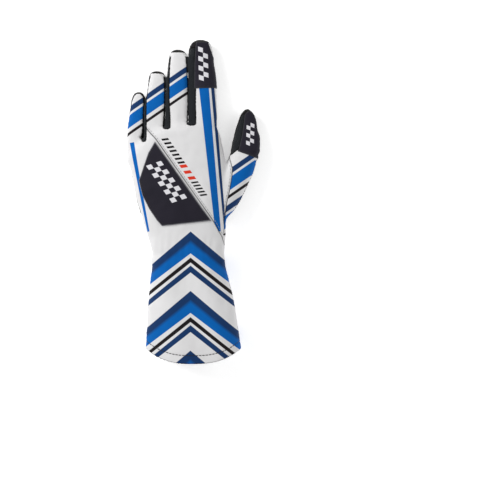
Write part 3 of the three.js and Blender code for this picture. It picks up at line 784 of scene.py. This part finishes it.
# Printed stretch knit: white polyester with a plain printed design of chevrons and stripes. One
# node group draws a blue, navy or black stripe, which each panel's material places from a table.
WHITE = (0.8, 0.795, 0.8)
LINING = (0.62, 0.62, 0.63)
BLUE = (0, 0.124, 0.465)
NAVY = (0.009, 0.04, 0.135)
BLACK = (0.011, 0.009, 0.011)
RED = (0.75, 0.045, 0.02)
INK = {"blue": BLUE, "navy": NAVY, "black": BLACK, "red": RED}


def new_group(name, inputs, outputs):
    """A shader node group with named sockets. Returns its tree, its input and its output node."""
    tree = bpy.data.node_groups.new(name, "ShaderNodeTree")
    for label, kind in inputs:
        tree.interface.new_socket(label, in_out="INPUT", socket_type="NodeSocket" + kind)
    for label, kind in outputs:
        tree.interface.new_socket(label, in_out="OUTPUT", socket_type="NodeSocket" + kind)
    return tree, tree.nodes.new("NodeGroupInput").outputs, tree.nodes.new("NodeGroupOutput").inputs


def feed(tree, socket, value):
    """Links a node's input to a socket, or sets it to a number, a vector or a colour."""
    if isinstance(value, bpy.types.NodeSocket):
        tree.links.new(value, socket)
    else:
        socket.default_value = (*value, 1) if socket.type == "RGBA" else value


def put(tree, kind, *values, **settings):
    """Adds a node and feeds its inputs in their order."""
    node = tree.nodes.new("ShaderNode" + kind)
    for name, value in settings.items():
        setattr(node, name, value)
    for socket, value in zip(node.inputs, values):
        feed(tree, socket, value)
    return node


def calc(tree, operation, *values, clamp=False):
    return put(tree, "Math", *values, operation=operation, use_clamp=clamp).outputs[0]


def vector(tree, operation, *values):
    node = put(tree, "VectorMath", *values, operation=operation)
    scalar = operation in ("DOT_PRODUCT", "LENGTH", "DISTANCE")
    return node.outputs["Value" if scalar else "Vector"]


def call(tree, group, **values):
    """Places a node group, with its inputs named in the call."""
    node = tree.nodes.new("ShaderNodeGroup")
    node.node_tree = group
    for label, value in values.items():
        feed(tree, node.inputs[label.replace("_", " ")], value)
    return node.outputs


def blend_in(tree, mask, below, above, blend="MIX"):
    """The colour above laid over the one below where the mask is 1."""
    node = tree.nodes.new("ShaderNodeMix")
    node.data_type = "RGBA"
    node.blend_type = blend
    for place, value in ((0, mask), (6, below), (7, above)):
        feed(tree, node.inputs[place], value)
    return node.outputs[2]


def shade_colour(tree, colour, shade):
    """The colour darkened by a value from 0 to 1."""
    return blend_in(tree, 1.0, colour, shade, blend="MULTIPLY")


# A straight stripe from start to end, with its breadth at both, in millimetres
stripe, i, o = new_group("stripe", [
    ("place", "Vector"), ("start", "Vector"), ("end", "Vector"), ("width", "Float"),
    ("end width", "Float"),
], [("mask", "Float"), ("side", "Float")])
SOFT_EDGE = 0.3
along = vector(stripe, "SUBTRACT", i["end"], i["start"])
here = vector(stripe, "SUBTRACT", i["place"], i["start"])
share = calc(stripe, "DIVIDE", vector(stripe, "DOT_PRODUCT", here, along),
             vector(stripe, "DOT_PRODUCT", along, along))
across = vector(stripe, "NORMALIZE", vector(stripe, "CROSS_PRODUCT", along, (0.0, 0.0, 1.0)))
side = vector(stripe, "DOT_PRODUCT", here, across)
growth = calc(stripe, "SUBTRACT", i["end width"], i["width"])
width = calc(stripe, "MULTIPLY_ADD", growth, share, i["width"])
width = calc(stripe, "MULTIPLY", width, 0.5)
edge = calc(stripe, "SUBTRACT", width, calc(stripe, "ABSOLUTE", side))
mask = calc(stripe, "MULTIPLY_ADD", edge, 1 / SOFT_EDGE, 0.5, clamp=True)
ahead = calc(stripe, "GREATER_THAN", share, 0.0)
short = calc(stripe, "LESS_THAN", share, 1.0)
mask = calc(stripe, "MULTIPLY", calc(stripe, "MULTIPLY", mask, ahead), short)
stripe.links.new(mask, o["mask"])
stripe.links.new(calc(stripe, "DIVIDE", side, calc(stripe, "MAXIMUM", width, 0.1)), o["side"])

# A band of bars or chequers round a centre, along a direction, slanted by skew
chequer, i, o = new_group("chequer", [
    ("place", "Vector"), ("centre", "Vector"), ("direction", "Vector"), ("cell", "Float"),
    ("row", "Float"), ("length", "Float"), ("height", "Float"), ("skew", "Float"),
], [("mask", "Float")])
here = vector(chequer, "SUBTRACT", i["place"], i["centre"])
u = vector(chequer, "DOT_PRODUCT", here, i["direction"])
across = vector(chequer, "CROSS_PRODUCT", i["direction"], (0.0, 0.0, 1.0))
v = vector(chequer, "DOT_PRODUCT", here, across)
u = calc(chequer, "MULTIPLY_ADD", v, i["skew"], u)
u = calc(chequer, "DIVIDE", calc(chequer, "MULTIPLY_ADD", i["length"], 0.5, u), i["cell"])
v = calc(chequer, "DIVIDE", calc(chequer, "MULTIPLY_ADD", i["height"], 0.5, v), i["row"])
odd = calc(chequer, "ADD", calc(chequer, "FLOOR", u), calc(chequer, "FLOOR", v))
mask = calc(chequer, "SUBTRACT", 1.0, calc(chequer, "PINGPONG", odd, 1.0))
for place, step, extent in ((u, "cell", "length"), (v, "row", "height")):
    cells = calc(chequer, "DIVIDE", i[extent], i[step])
    mask = calc(chequer, "MULTIPLY", mask, calc(chequer, "GREATER_THAN", place, 0.0))
    mask = calc(chequer, "MULTIPLY", mask, calc(chequer, "LESS_THAN", place, cells))
chequer.links.new(mask, o["mask"])


def band_mask(tree, place, centre, direction, cell, row, columns, rows, skew):
    """Where a band of chequers is, or of bars when it has one row."""
    flat = vector(tree, "MULTIPLY", place, (1.0, 1.0, 0.0))
    unit = Vector((*direction, 0)).normalized()
    return call(
        tree, chequer, place=flat, centre=(*centre, 0), direction=unit, cell=cell, row=row,
        length=columns * cell, height=rows * row, skew=skew,
    )["mask"]


# Speed bars beside the slanted seam. Columns: ink, distance along the seam, cell and columns
BARS_START = np.array([-20.9, 63.6])
BARS_WAY = np.array([0.567, -0.823])
BARS_HEIGHT = 5.6
BARS = [("black", 19, 2.1, 13), ("red", 42, 3.2, 5), ("black", 60, 1.7, 9)]

# Fine mesh of knitted loops, and the painted shade that darkens the colour near seams
knit, i, o = new_group("knit", [("place", "Vector"), ("pitch", "Float")], [("height", "Float")])
turned = put(knit, "VectorMath", i["place"], operation="SCALE")
knit.links.new(calc(knit, "DIVIDE", 2 * math.pi, i["pitch"]), turned.inputs["Scale"])
axes = put(knit, "SeparateXYZ", turned.outputs[0]).outputs
loops = [calc(knit, "SINE", axes[n]) for n in range(3)]
rows = calc(knit, "MULTIPLY", loops[0], loops[1])
knit.links.new(calc(knit, "MULTIPLY_ADD", loops[2], 0.5, rows), o["height"])

# Painted shade near a seam: 0.28 of the colour at the seam, full colour at the reach and beyond
seam_shade, i, o = new_group("seam_shade", [("seam", "Float"), ("reach", "Float")], [("shade", "Float")])
near = calc(seam_shade, "DIVIDE", i["seam"], i["reach"], clamp=True)
seam_shade.links.new(calc(seam_shade, "MULTIPLY_ADD", near, 0.72, 0.28), o["shade"])


def cloud(tree, place, scale, detail=2):
    """Soft noise from 0 to 1, in patches about as wide as 1 divided by the scale."""
    node = put(tree, "TexNoise", place)
    node.inputs["Scale"].default_value = scale
    node.inputs["Detail"].default_value = detail
    return node.outputs["Fac"]


def from_seam(tree):
    return put(tree, "Attribute", attribute_name="seam").outputs["Fac"]


def with_painted_seam_shade(tree, colour, reach):
    """The colour darkened near its seams: painted shade of the seam's valley."""
    return shade_colour(tree, colour, call(tree, seam_shade, seam=from_seam(tree), reach=reach)["shade"])


def start_material(name, roughness, sheen=0.0):
    """A material with its tree, its shader and the place on the object in millimetres."""
    material = bpy.data.materials.new(name)
    material.use_nodes = True
    tree = material.node_tree
    shader = tree.nodes["Principled BSDF"]
    shader.inputs["Roughness"].default_value = roughness
    shader.inputs["Sheen Weight"].default_value = sheen
    shader.inputs["Specular IOR Level"].default_value = 0.12
    place = put(tree, "VectorMath", put(tree, "TexCoord").outputs["Object"], operation="SCALE")
    place.inputs["Scale"].default_value = 1 / mm
    return material, tree, shader, place.outputs[0]


def bump(tree, shader, height, strength, distance):
    node = put(tree, "Bump")
    node.inputs["Strength"].default_value = strength
    node.inputs["Distance"].default_value = distance * mm
    tree.links.new(height, node.inputs["Height"])
    tree.links.new(node.outputs[0], shader.inputs["Normal"])


def print_material(name, stripes, bars=(), fold=None):
    """White knit with printed stripes. With a fold, they are mirrored about that line in X."""
    material, tree, shader, place = start_material(name, 0.8, sheen=0.03)
    flat = vector(tree, "MULTIPLY", place, (1.0, 1.0, 0.0))
    if fold is not None:
        parts = put(tree, "SeparateXYZ", flat).outputs
        aside = calc(tree, "ABSOLUTE", calc(tree, "SUBTRACT", parts["X"], fold))
        flat = put(tree, "CombineXYZ", aside, parts["Y"]).outputs[0]
    colour = WHITE
    for ink, x, y, end_x, end_y, width, end_width in stripes:
        drawn = call(
            tree, stripe, place=flat, start=(x, y, 0), end=(end_x, end_y, 0), width=width,
            end_width=end_width,
        )
        if ink == "shaded":
            half_navy = calc(tree, "MULTIPLY_ADD", drawn["side"], -2.4, 0.3, clamp=True)
            above = blend_in(tree, half_navy, BLUE, NAVY)
        else:
            above = INK[ink]
        colour = blend_in(tree, drawn["mask"], colour, above)
    for ink, distance, cell, columns in bars:
        centre = BARS_START + BARS_WAY * distance
        mask = band_mask(tree, place, centre, BARS_WAY, cell, BARS_HEIGHT, columns, 1, 0.5)
        colour = blend_in(tree, mask, colour, INK[ink])
    shade = calc(tree, "MULTIPLY_ADD", cloud(tree, place, 0.05), 0.08, 0.95)
    # Painted shade darkens the print near its seams
    colour = with_painted_seam_shade(tree, shade_colour(tree, colour, shade), 0.8)
    inside = put(tree, "Attribute", attribute_name="inside").outputs["Fac"]
    colour = blend_in(tree, inside, colour, LINING)
    tree.links.new(colour, shader.inputs["Base Color"])
    bump(tree, shader, call(tree, knit, place=place, pitch=0.9)["height"], 0.25, 0.1)
    return material


# Chevrons that point to the fingers, on both sides of the gauntlet. They are drawn from beyond
# the fold out to the side. Columns: ink, height above the chevron's top, breadth
CHEVRON_FOLD = 5.5
CHEVRON_FALL = 0.8
CHEVRON_TOPS = (-34, -87, -140)
CHEVRON_BANDS = [("shaded", 0, 16), ("black", -15.5, 3.6), ("navy", -23.5, 5)]
CHEVRON_TAPER = 0.7
BEYOND_FOLD = -10
OUT_TO = 60
chevrons = []
for top in CHEVRON_TOPS:
    for ink, above, breadth in CHEVRON_BANDS:
        start = (BEYOND_FOLD, top + above - CHEVRON_FALL * BEYOND_FOLD)
        end = (OUT_TO, top + above - CHEVRON_FALL * OUT_TO)
        chevrons.append((ink, *start, *end, breadth, breadth * CHEVRON_TAPER))
# Bands that rise towards the thumb, in one line across the fingers and twice across the thumb
SLANTED_BANDS = [("navy", 11, 4.5), ("blue", 0, 9.5), ("black", -11, 2.4)]
BAND_RISE = 0.7
FINGER_LEVEL = 110
THUMB_LEVELS = (-9.5, -41)


def slanted(x, end_x, level):
    """The bands from one place across to another. The level is their height at X = 0."""
    return [
        (ink, x, level + above + BAND_RISE * x, end_x, level + above + BAND_RISE * end_x, breadth, breadth)
        for ink, above, breadth in SLANTED_BANDS
    ]


# The little finger's back belongs to the gauntlet's panel, so its bands are given for the fold
little_bands = [
    (ink, CHEVRON_FOLD - x, y, CHEVRON_FOLD - end_x, end_y, *breadths)
    for ink, x, y, end_x, end_y, *breadths in slanted(-56, -34, FINGER_LEVEL)
]
little_edge = ("blue", 53, 56, 38, -24, 4, 2)
gauntlet_back_print = print_material(
    "printed_gauntlet", [*chevrons, *little_bands, little_edge], fold=CHEVRON_FOLD,
)
gauntlet_front_print = print_material("printed_gauntlet_front", chevrons, fold=CHEVRON_FOLD)
# Two stripes run straight from the index finger's patch down to the thumb's seam
back_panel_print = print_material("printed_back", [
    ("blue", 16.5, 112, 30, -24, 9, 5),
    ("navy", 24.4, 112, 36.4, -24, 3, 2),
    ("black", 4, 152, 8, 134, 9, 9),
    *slanted(-40, 6, FINGER_LEVEL),
], BARS)
thumb_print = print_material("printed_thumb", [
    *slanted(30, 66, THUMB_LEVELS[0]),
    *slanted(30, 66, THUMB_LEVELS[1]),
    ("black", 52, 92, 54, 74, 8, 8),
])

# Black suede: palm, finger fronts and thumb front are one piece of microfibre with a short nap.
SUEDE = (0.022, 0.0215, 0.0205)
NAP = 0.5  # how much paler or darker it is where the nap is brushed
suede, tree, shader, place = start_material("suede", 0.95, 0.1)
fine = cloud(tree, place, 2.4)
shade = calc(tree, "MULTIPLY_ADD", cloud(tree, place, 0.09, 3), NAP, 1 - NAP * 0.5)
shade = calc(tree, "MULTIPLY_ADD", fine, NAP * 0.5, shade)
# Painted shade darkens the suede near its seams
colour = with_painted_seam_shade(tree, shade_colour(tree, SUEDE, shade), 1.2)
tree.links.new(colour, shader.inputs["Base Color"])
bump(tree, shader, fine, 0.35, 0.12)

# Stretch strips: dark ribbed elastic knit between the fingers and inside the thumb.
STRETCH = (0.0125, 0.015, 0.018)
stretch, tree, shader, place = start_material("stretch_knit", 0.7, 0.1)
ribs = call(tree, knit, place=place, pitch=1.2)["height"]
# Darker in the hollows between the ribs: painted shade
shade = calc(tree, "MULTIPLY_ADD", ribs, 0.12, 0.95)
# Painted shade darkens the strip near its seams
colour = shade_colour(tree, with_painted_seam_shade(tree, STRETCH, 1.0), shade)
tree.links.new(colour, shader.inputs["Base Color"])
bump(tree, shader, ribs, 0.5, 0.2)

# Sewing the panels.
# Columns: panel, width and length of its cloth, material, slot, and the nodes it stands for
fronts = ["front_" + finger["name"] for finger in FINGERS]
PANELS = [
    (back_panel, (0.1, 0.16), back_panel_print, "print", ["back_panel"]),
    (gauntlet_back, (0.13, 0.25), gauntlet_back_print, "print", ["gauntlet_back_panel"]),
    (thumb_panel, (0.05, 0.11), thumb_print, "print", ["thumb_panel"]),
    (gauntlet_front, (0.12, 0.14), gauntlet_front_print, "print", ["gauntlet_front_panel"]),
    (palm_panel, (0.14, 0.2), suede, "suede", ["palm_panel", "front_thumb", *fronts]),
]
for panel, flat, material, slot, nodes in PANELS:
    area = sew(panel, hem=panel in (gauntlet_back, gauntlet_front))
    finish_piece(panel, material, slot, *nodes)
# A narrow strip has a larger share of its cloth turned in along its edges
STRIPS_FLAT = [(0.012, 0.06), (0.016, 0.075), (0.018, 0.08), (0.013, 0.045)]
for strip, flat in zip([*fourchettes, gusset], STRIPS_FLAT):
    area = sew(strip, radius=0.7)
    finish_piece(strip, stretch, "stretch", strip.name.removeprefix("sewn_"))

# Patches: dark rubbery microfibre sewn on over the tips of index finger and thumb, and the badge,
# a raised plate of the same on the back of the hand. A chequered band decorates each.
PATCH = (0.019, 0.017, 0.0265)
PATCH_EDGE = (0.05, 0.05, 0.055)
BADGE_EDGE = (0.34, 0.34, 0.36)
PATCH_WALL = 0.9
BADGE_WALL = 1.4
BAND_WHITE = (0.78, 0.77, 0.81)
EDGE_BAND_WIDTH = 1.1
INDEX_PATCH = [
    (0.4, -0.52), (0.7, -0.5), (0.95, -0.5), (1.1, -0.5), (1.1, 1.5), (0.4, 1.5),
]
THUMB_PATCH = [
    (0.63, -0.5), (0.66, -0.44), (0.78, -0.36), (0.9, -0.32), (0.95, -0.3), (0.98, 0.5),
    (0.9, 1.5), (0.61, 1.5),
]
BADGE = [
    (0.322, 0.752), (0.25, 0.615), (0.19, 0.42), (0.15, 0.288), (0.19, 0.108), (0.262, -0.048),
    (0.341, -0.18), (0.4, -0.255), (0.935, -0.192),
]


def patch_material(name, centre, direction, cell, columns, rows, skew, edge):
    """Dark grained rubber with one chequered band and a paler band along its edge."""
    material, tree, shader, place = start_material(name, 0.65)
    band = band_mask(tree, place, centre, direction, cell, cell, columns, rows, skew)
    colour = shade_colour(tree, PATCH, calc(tree, "MULTIPLY_ADD", cloud(tree, place, 0.08), 0.5, 0.75))
    # A paler colour along the plate's edge, fading out within about a millimetre of it
    edge_band = calc(tree, "SUBTRACT", 1.0, calc(tree, "DIVIDE", from_seam(tree), EDGE_BAND_WIDTH), clamp=True)
    colour = blend_in(tree, edge_band, colour, edge)
    colour = blend_in(tree, band, colour, BAND_WHITE)
    tree.links.new(colour, shader.inputs["Base Color"])
    raised = calc(tree, "MULTIPLY_ADD", band, 1.2, cloud(tree, place, 1.6))
    bump(tree, shader, raised, 0.4, 0.12)
    return material


def plate(base, outline, name, wall, radius):
    """A piece of the skin inside an outline, raised to lie on the cloth."""
    piece = copied(base, name)
    cut(piece, "INTERSECT", block(outline))
    sew(piece, wall=wall, radius=radius, lift=0.06, outwards=True, pucker=0)
    return piece


index_patch = plate(upper_skin, on_tube(lambda at: finger_frame(INDEX, at), INDEX_PATCH),
                    "tip_patch_index", PATCH_WALL, 0.5)
centre, across, along, _ = finger_frame(INDEX, 0.69)
finish_piece(
    index_patch,
    patch_material("patch_index", centre + across * 2.2, along, 4.3, 7, 2, 0.35, PATCH_EDGE),
    "patch", "index_patch",
)
thumb_patch = plate(upper_skin, on_tube(thumb_frame, THUMB_PATCH), "tip_patch_thumb", PATCH_WALL, 0.5)
centre, across, along, _ = thumb_frame(0.785)
finish_piece(
    thumb_patch,
    patch_material("patch_thumb", centre + across * 3.2, along, 3.5, 6, 2, 0.35, PATCH_EDGE),
    "patch", "thumb_patch",
)
badge = plate(upper_skin, in_plan(BADGE), "back_badge", BADGE_WALL, 0.7)
slope = in_plan(SLANT_SEAM)[2] - in_plan(SLANT_SEAM)[1]
slope /= np.linalg.norm(slope)
centre = in_plan([(0.45, 0.27)])[0]
finish_piece(
    badge, patch_material("patch_badge", centre, slope, 4.5, 9, 3, 0.3, BADGE_EDGE), "patch", "badge",
)

# Grip pads: white silicone printed thickly on the suede, with rounded edges. Each is the skin
# inside its pad's own outline, which the frame's pad gives as a block.
GRIP = (0.76, 0.76, 0.745)
GRIP_WALL = 0.74
GRIP_REACH = 8

grip, tree, shader, place = start_material("silicone_grip", 0.42)
shader.inputs["Specular IOR Level"].default_value = 0.5
shade = calc(tree, "MULTIPLY_ADD", cloud(tree, place, 0.12, 3), 0.18, 0.9)
# Painted shade darkens the grip near its edges
colour = with_painted_seam_shade(tree, shade_colour(tree, GRIP, shade), 0.5)
tree.links.new(colour, shader.inputs["Base Color"])
dots = put(tree, "TexVoronoi", place)
dots.inputs["Scale"].default_value = 0.8
bump(tree, shader, dots.outputs["Distance"], 0.35, 0.12)

pad_names = [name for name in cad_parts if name.startswith("grip_")]
bpy.ops.object.select_all(action="DESELECT")
for name in pad_names:
    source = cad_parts[name]
    cutter = bpy.data.objects.new("pad_block", source.data.copy())
    bpy.context.collection.objects.link(cutter)
    cutter.data.transform(Matrix.Scale(1 / mm, 4))
    cutter.select_set(True)
    bpy.context.view_layer.objects.active = cutter
bpy.ops.object.join()
blocks = bpy.context.object
edit_alone(blocks, selected=True)
bpy.ops.mesh.remove_doubles(threshold=0.001)
bpy.ops.object.mode_set(mode="OBJECT")
places = coords(blocks.data)
places[:, 2] += GRIP_REACH * np.sign(normals(blocks.data)[:, 2])
set_coords(blocks.data, places)
blocks.data.materials.clear()
blocks.data.materials.append(cut_face)
pads = copied(lower_skin, "grip_pads")
cut(pads, "INTERSECT", blocks)
sew(pads, wall=GRIP_WALL, radius=0.4, lift=0.04, outwards=True, pucker=0)
finish_piece(pads, grip, "grip", *pad_names)

# Stitches: short loops of sewing thread, one after the other along each seam and round the hem,
# and in zigzag over the two elastic tapes on the palm side of the wrist.
STITCH_LENGTH = 2.7
STITCH_PITCH = 3
THREAD = 0.45
STITCH_SIDES = 6
form = BVHTree.FromObject(skin, bpy.context.evaluated_depsgraph_get())


def thread_material(name, colour):
    material, tree, shader, place = start_material(name, 0.6, sheen=0.1)
    # Darker bands along the thread's twist: painted shade in the grooves between its plies
    twist = put(tree, "TexWave", place, wave_type="BANDS", bands_direction="DIAGONAL")
    twist.inputs["Scale"].default_value = 2.2
    shade = calc(tree, "MULTIPLY_ADD", twist.outputs["Fac"], 0.3, 0.75)
    tree.links.new(shade_colour(tree, colour, shade), shader.inputs["Base Color"])
    return material


def on_skin(points, from_above=True):
    """Points in plan dropped onto the skin, each with the skin's normal there."""
    found = []
    for x, y in points:
        start = Vector((x, y, FAR if from_above else -FAR))
        place, normal, _, _ = form.ray_cast(start, Vector((0, 0, -1 if from_above else 1)))
        if place:
            found.append((place, normal))
    return found


def even(points, pitch):
    """The same line with points at an even pitch."""
    points = np.asarray(points, float)
    steps = np.linalg.norm(np.diff(points, axis=0), axis=1)
    travelled = np.concatenate([[0], np.cumsum(steps)])
    at = np.arange(0, travelled[-1], pitch)
    return np.stack([np.interp(at, travelled, points[:, n]) for n in range(points.shape[1])], axis=1)


bpy.ops.object.select_all(action="DESELECT")
bpy.ops.mesh.primitive_uv_sphere_add(segments=STITCH_SIDES, ring_count=5, radius=0.5)
stitch = bpy.context.object
stitch_faces = [tuple(face.vertices) for face in stitch.data.polygons]
# The sphere's poles point along Z, and a stitch's ends along X
stitch_shape = coords(stitch.data)[:, [2, 0, 1]] * (STITCH_LENGTH, THREAD, THREAD * 0.8)
bpy.data.objects.remove(stitch)


def stitch_row(name, rows, material, lift=0.08, thick=1):
    """One mesh of stitches along rows of (place, normal)."""
    points, faces = [], []
    for row in rows:
        for (a, normal), (b, _) in zip(row, row[1:]):
            if (b - a).length > STITCH_PITCH * 1.8:
                continue
            ahead = (b - a).normalized()
            side = normal.cross(ahead).normalized()
            middle = (a + b) / 2 + normal * lift
            turn = np.array([ahead, side, ahead.cross(side)])
            start = len(points) * len(stitch_shape)
            points.append(stitch_shape * (1, thick, thick) @ turn + np.array(middle))
            faces += [tuple(start + n for n in face) for face in stitch_faces]
    finish_piece(closed_piece(name, np.concatenate(points).tolist(), faces), material, "stretch")


def sewn_along(lines, from_above=True):
    return [on_skin(even(line, STITCH_PITCH), from_above) for line in lines]


grey_thread = thread_material("grey_thread", (0.36, 0.36, 0.37))
black_thread = thread_material("black_thread", (0.03, 0.03, 0.032))

# Hem: all the way round, where the fold's upper edge is sewn down
turn = np.linspace(0, 2 * np.pi, 160)
round_hem = []
for angle in turn:
    u, v = (np.sign(f) * abs(f) ** (2 / ROUNDNESS) for f in (math.cos(angle), math.sin(angle)))
    x = HEM_SHIFT + u * HEM_BREADTH / 2
    height = HEM_THICKNESS / 2 * (1 + v) - PRESS
    place, _, _, _ = form.find_nearest(Vector((x, hem_edge(x) + HEM_DEPTH, height)))
    round_hem.append(place)
hem_path = []
for point in even(round_hem, STITCH_PITCH):
    place, normal, _, _ = form.find_nearest(Vector(point))
    hem_path.append((place, normal))
stitch_row("stitches_hem", [hem_path], black_thread, lift=-0.1, thick=1.7)

# Zigzag rows over the elastic
ZIGZAG_HEIGHT = 4.6
ZIGZAG_PITCH = 3.6
zigzags = []
for row in ELASTIC_ROWS:
    corners = []
    for n, x in enumerate(np.arange(-24, 33, ZIGZAG_PITCH)):
        corners.append((x, row + (ZIGZAG_HEIGHT / 2 if n % 2 else -ZIGZAG_HEIGHT / 2)))
    zigzags.append(corners)
stitch_row("stitches_elastic", sewn_along(zigzags, from_above=False), black_thread)

# Seams of the back, a little beside the seam
BESIDE = 1.5
beside_slant = moved(gauntlet_outline, BESIDE)[1:5]
beside_thumb = moved(thumb_outline, BESIDE)[1:7]
stitch_row("stitches_back", sewn_along([beside_slant, beside_thumb]), grey_thread)
beside_wrist = moved(wrist_outline, BESIDE)[1:5]
stitch_row("stitches_wrist", sewn_along([beside_wrist], from_above=False), black_thread)

# Round the badge and across the foot of each tip patch, on top of the rubber
badge_line = moved(in_plan(BADGE), -1.9)
badge_line = np.concatenate([badge_line, badge_line[:1]])
index_line = on_tube(lambda at: finger_frame(INDEX, at), [(0.425, -0.4), (0.425, 0.98)])
thumb_line = on_tube(thumb_frame, [(0.645, -0.42), (0.628, 0.98)])
ON_TOP = 0.1
stitch_row("stitches_badge", sewn_along([badge_line]), black_thread, lift=BADGE_WALL + ON_TOP)
stitch_row(
    "stitches_patches", sewn_along([index_line, thumb_line]), black_thread, lift=PATCH_WALL + ON_TOP,
)
for helper in (skin, upper_skin, lower_skin):
    bpy.data.objects.remove(helper)
bpy.data.materials.remove(cut_face)

# The table top, a plain pale sheet under the glove, and soft studio light from above.
TABLE_SIZE = 8
bpy.ops.object.select_all(action="DESELECT")
bpy.ops.mesh.primitive_plane_add(size=TABLE_SIZE, location=(0, 0, -0.1 * mm))
table = bpy.context.object
table.name = "table_top"
bpy.ops.object.transform_apply(location=True)
table_material, tree, shader, place = start_material("table_top", 0.9)
shader.inputs["Base Color"].default_value = (0.95, 0.95, 0.95, 1)
shader.inputs["Emission Color"].default_value = (1, 1, 1, 1)
shader.inputs["Emission Strength"].default_value = 0.5
table.data.materials.append(table_material)

scene = bpy.context.scene
scene.view_settings.view_transform = "Standard"
if scene.world is None:
    scene.world = bpy.data.worlds.new("studio")
scene.world.use_nodes = True
backdrop = scene.world.node_tree.nodes["Background"]
backdrop.inputs["Color"].default_value = (1, 1, 1, 1)
backdrop.inputs["Strength"].default_value = 0.34
# Columns: place, side of the square lamp, watts
LAMPS = [((-0.95, 0.6, 0.85), 0.6, 12.5), ((0.9, 0.2, 0.9), 0.9, 3.3), ((0, -1.2, 0.8), 0.9, 2.6)]
for place, size, power in LAMPS:
    bpy.ops.object.light_add(type="AREA", location=place)
    lamp = bpy.context.object
    lamp.data.size = size
    lamp.data.energy = power
    lamp.rotation_euler = (-Vector(place)).to_track_quat("-Z", "Y").to_euler()

# The camera looks straight down. The photograph is 500 pixels wide and shows 450 mm, with the
# hand's origin left of and above its middle.
FIELD = 450 * mm
MIDDLE = Vector((58.5, -40.5, 15)) * mm
LENS = 150
SENSOR = 36
bpy.ops.object.camera_add(location=MIDDLE + Vector((0, 0, FIELD * LENS / SENSOR)))
camera = bpy.context.object
camera.data.lens = LENS
camera.data.sensor_width = SENSOR
scene.camera = camera
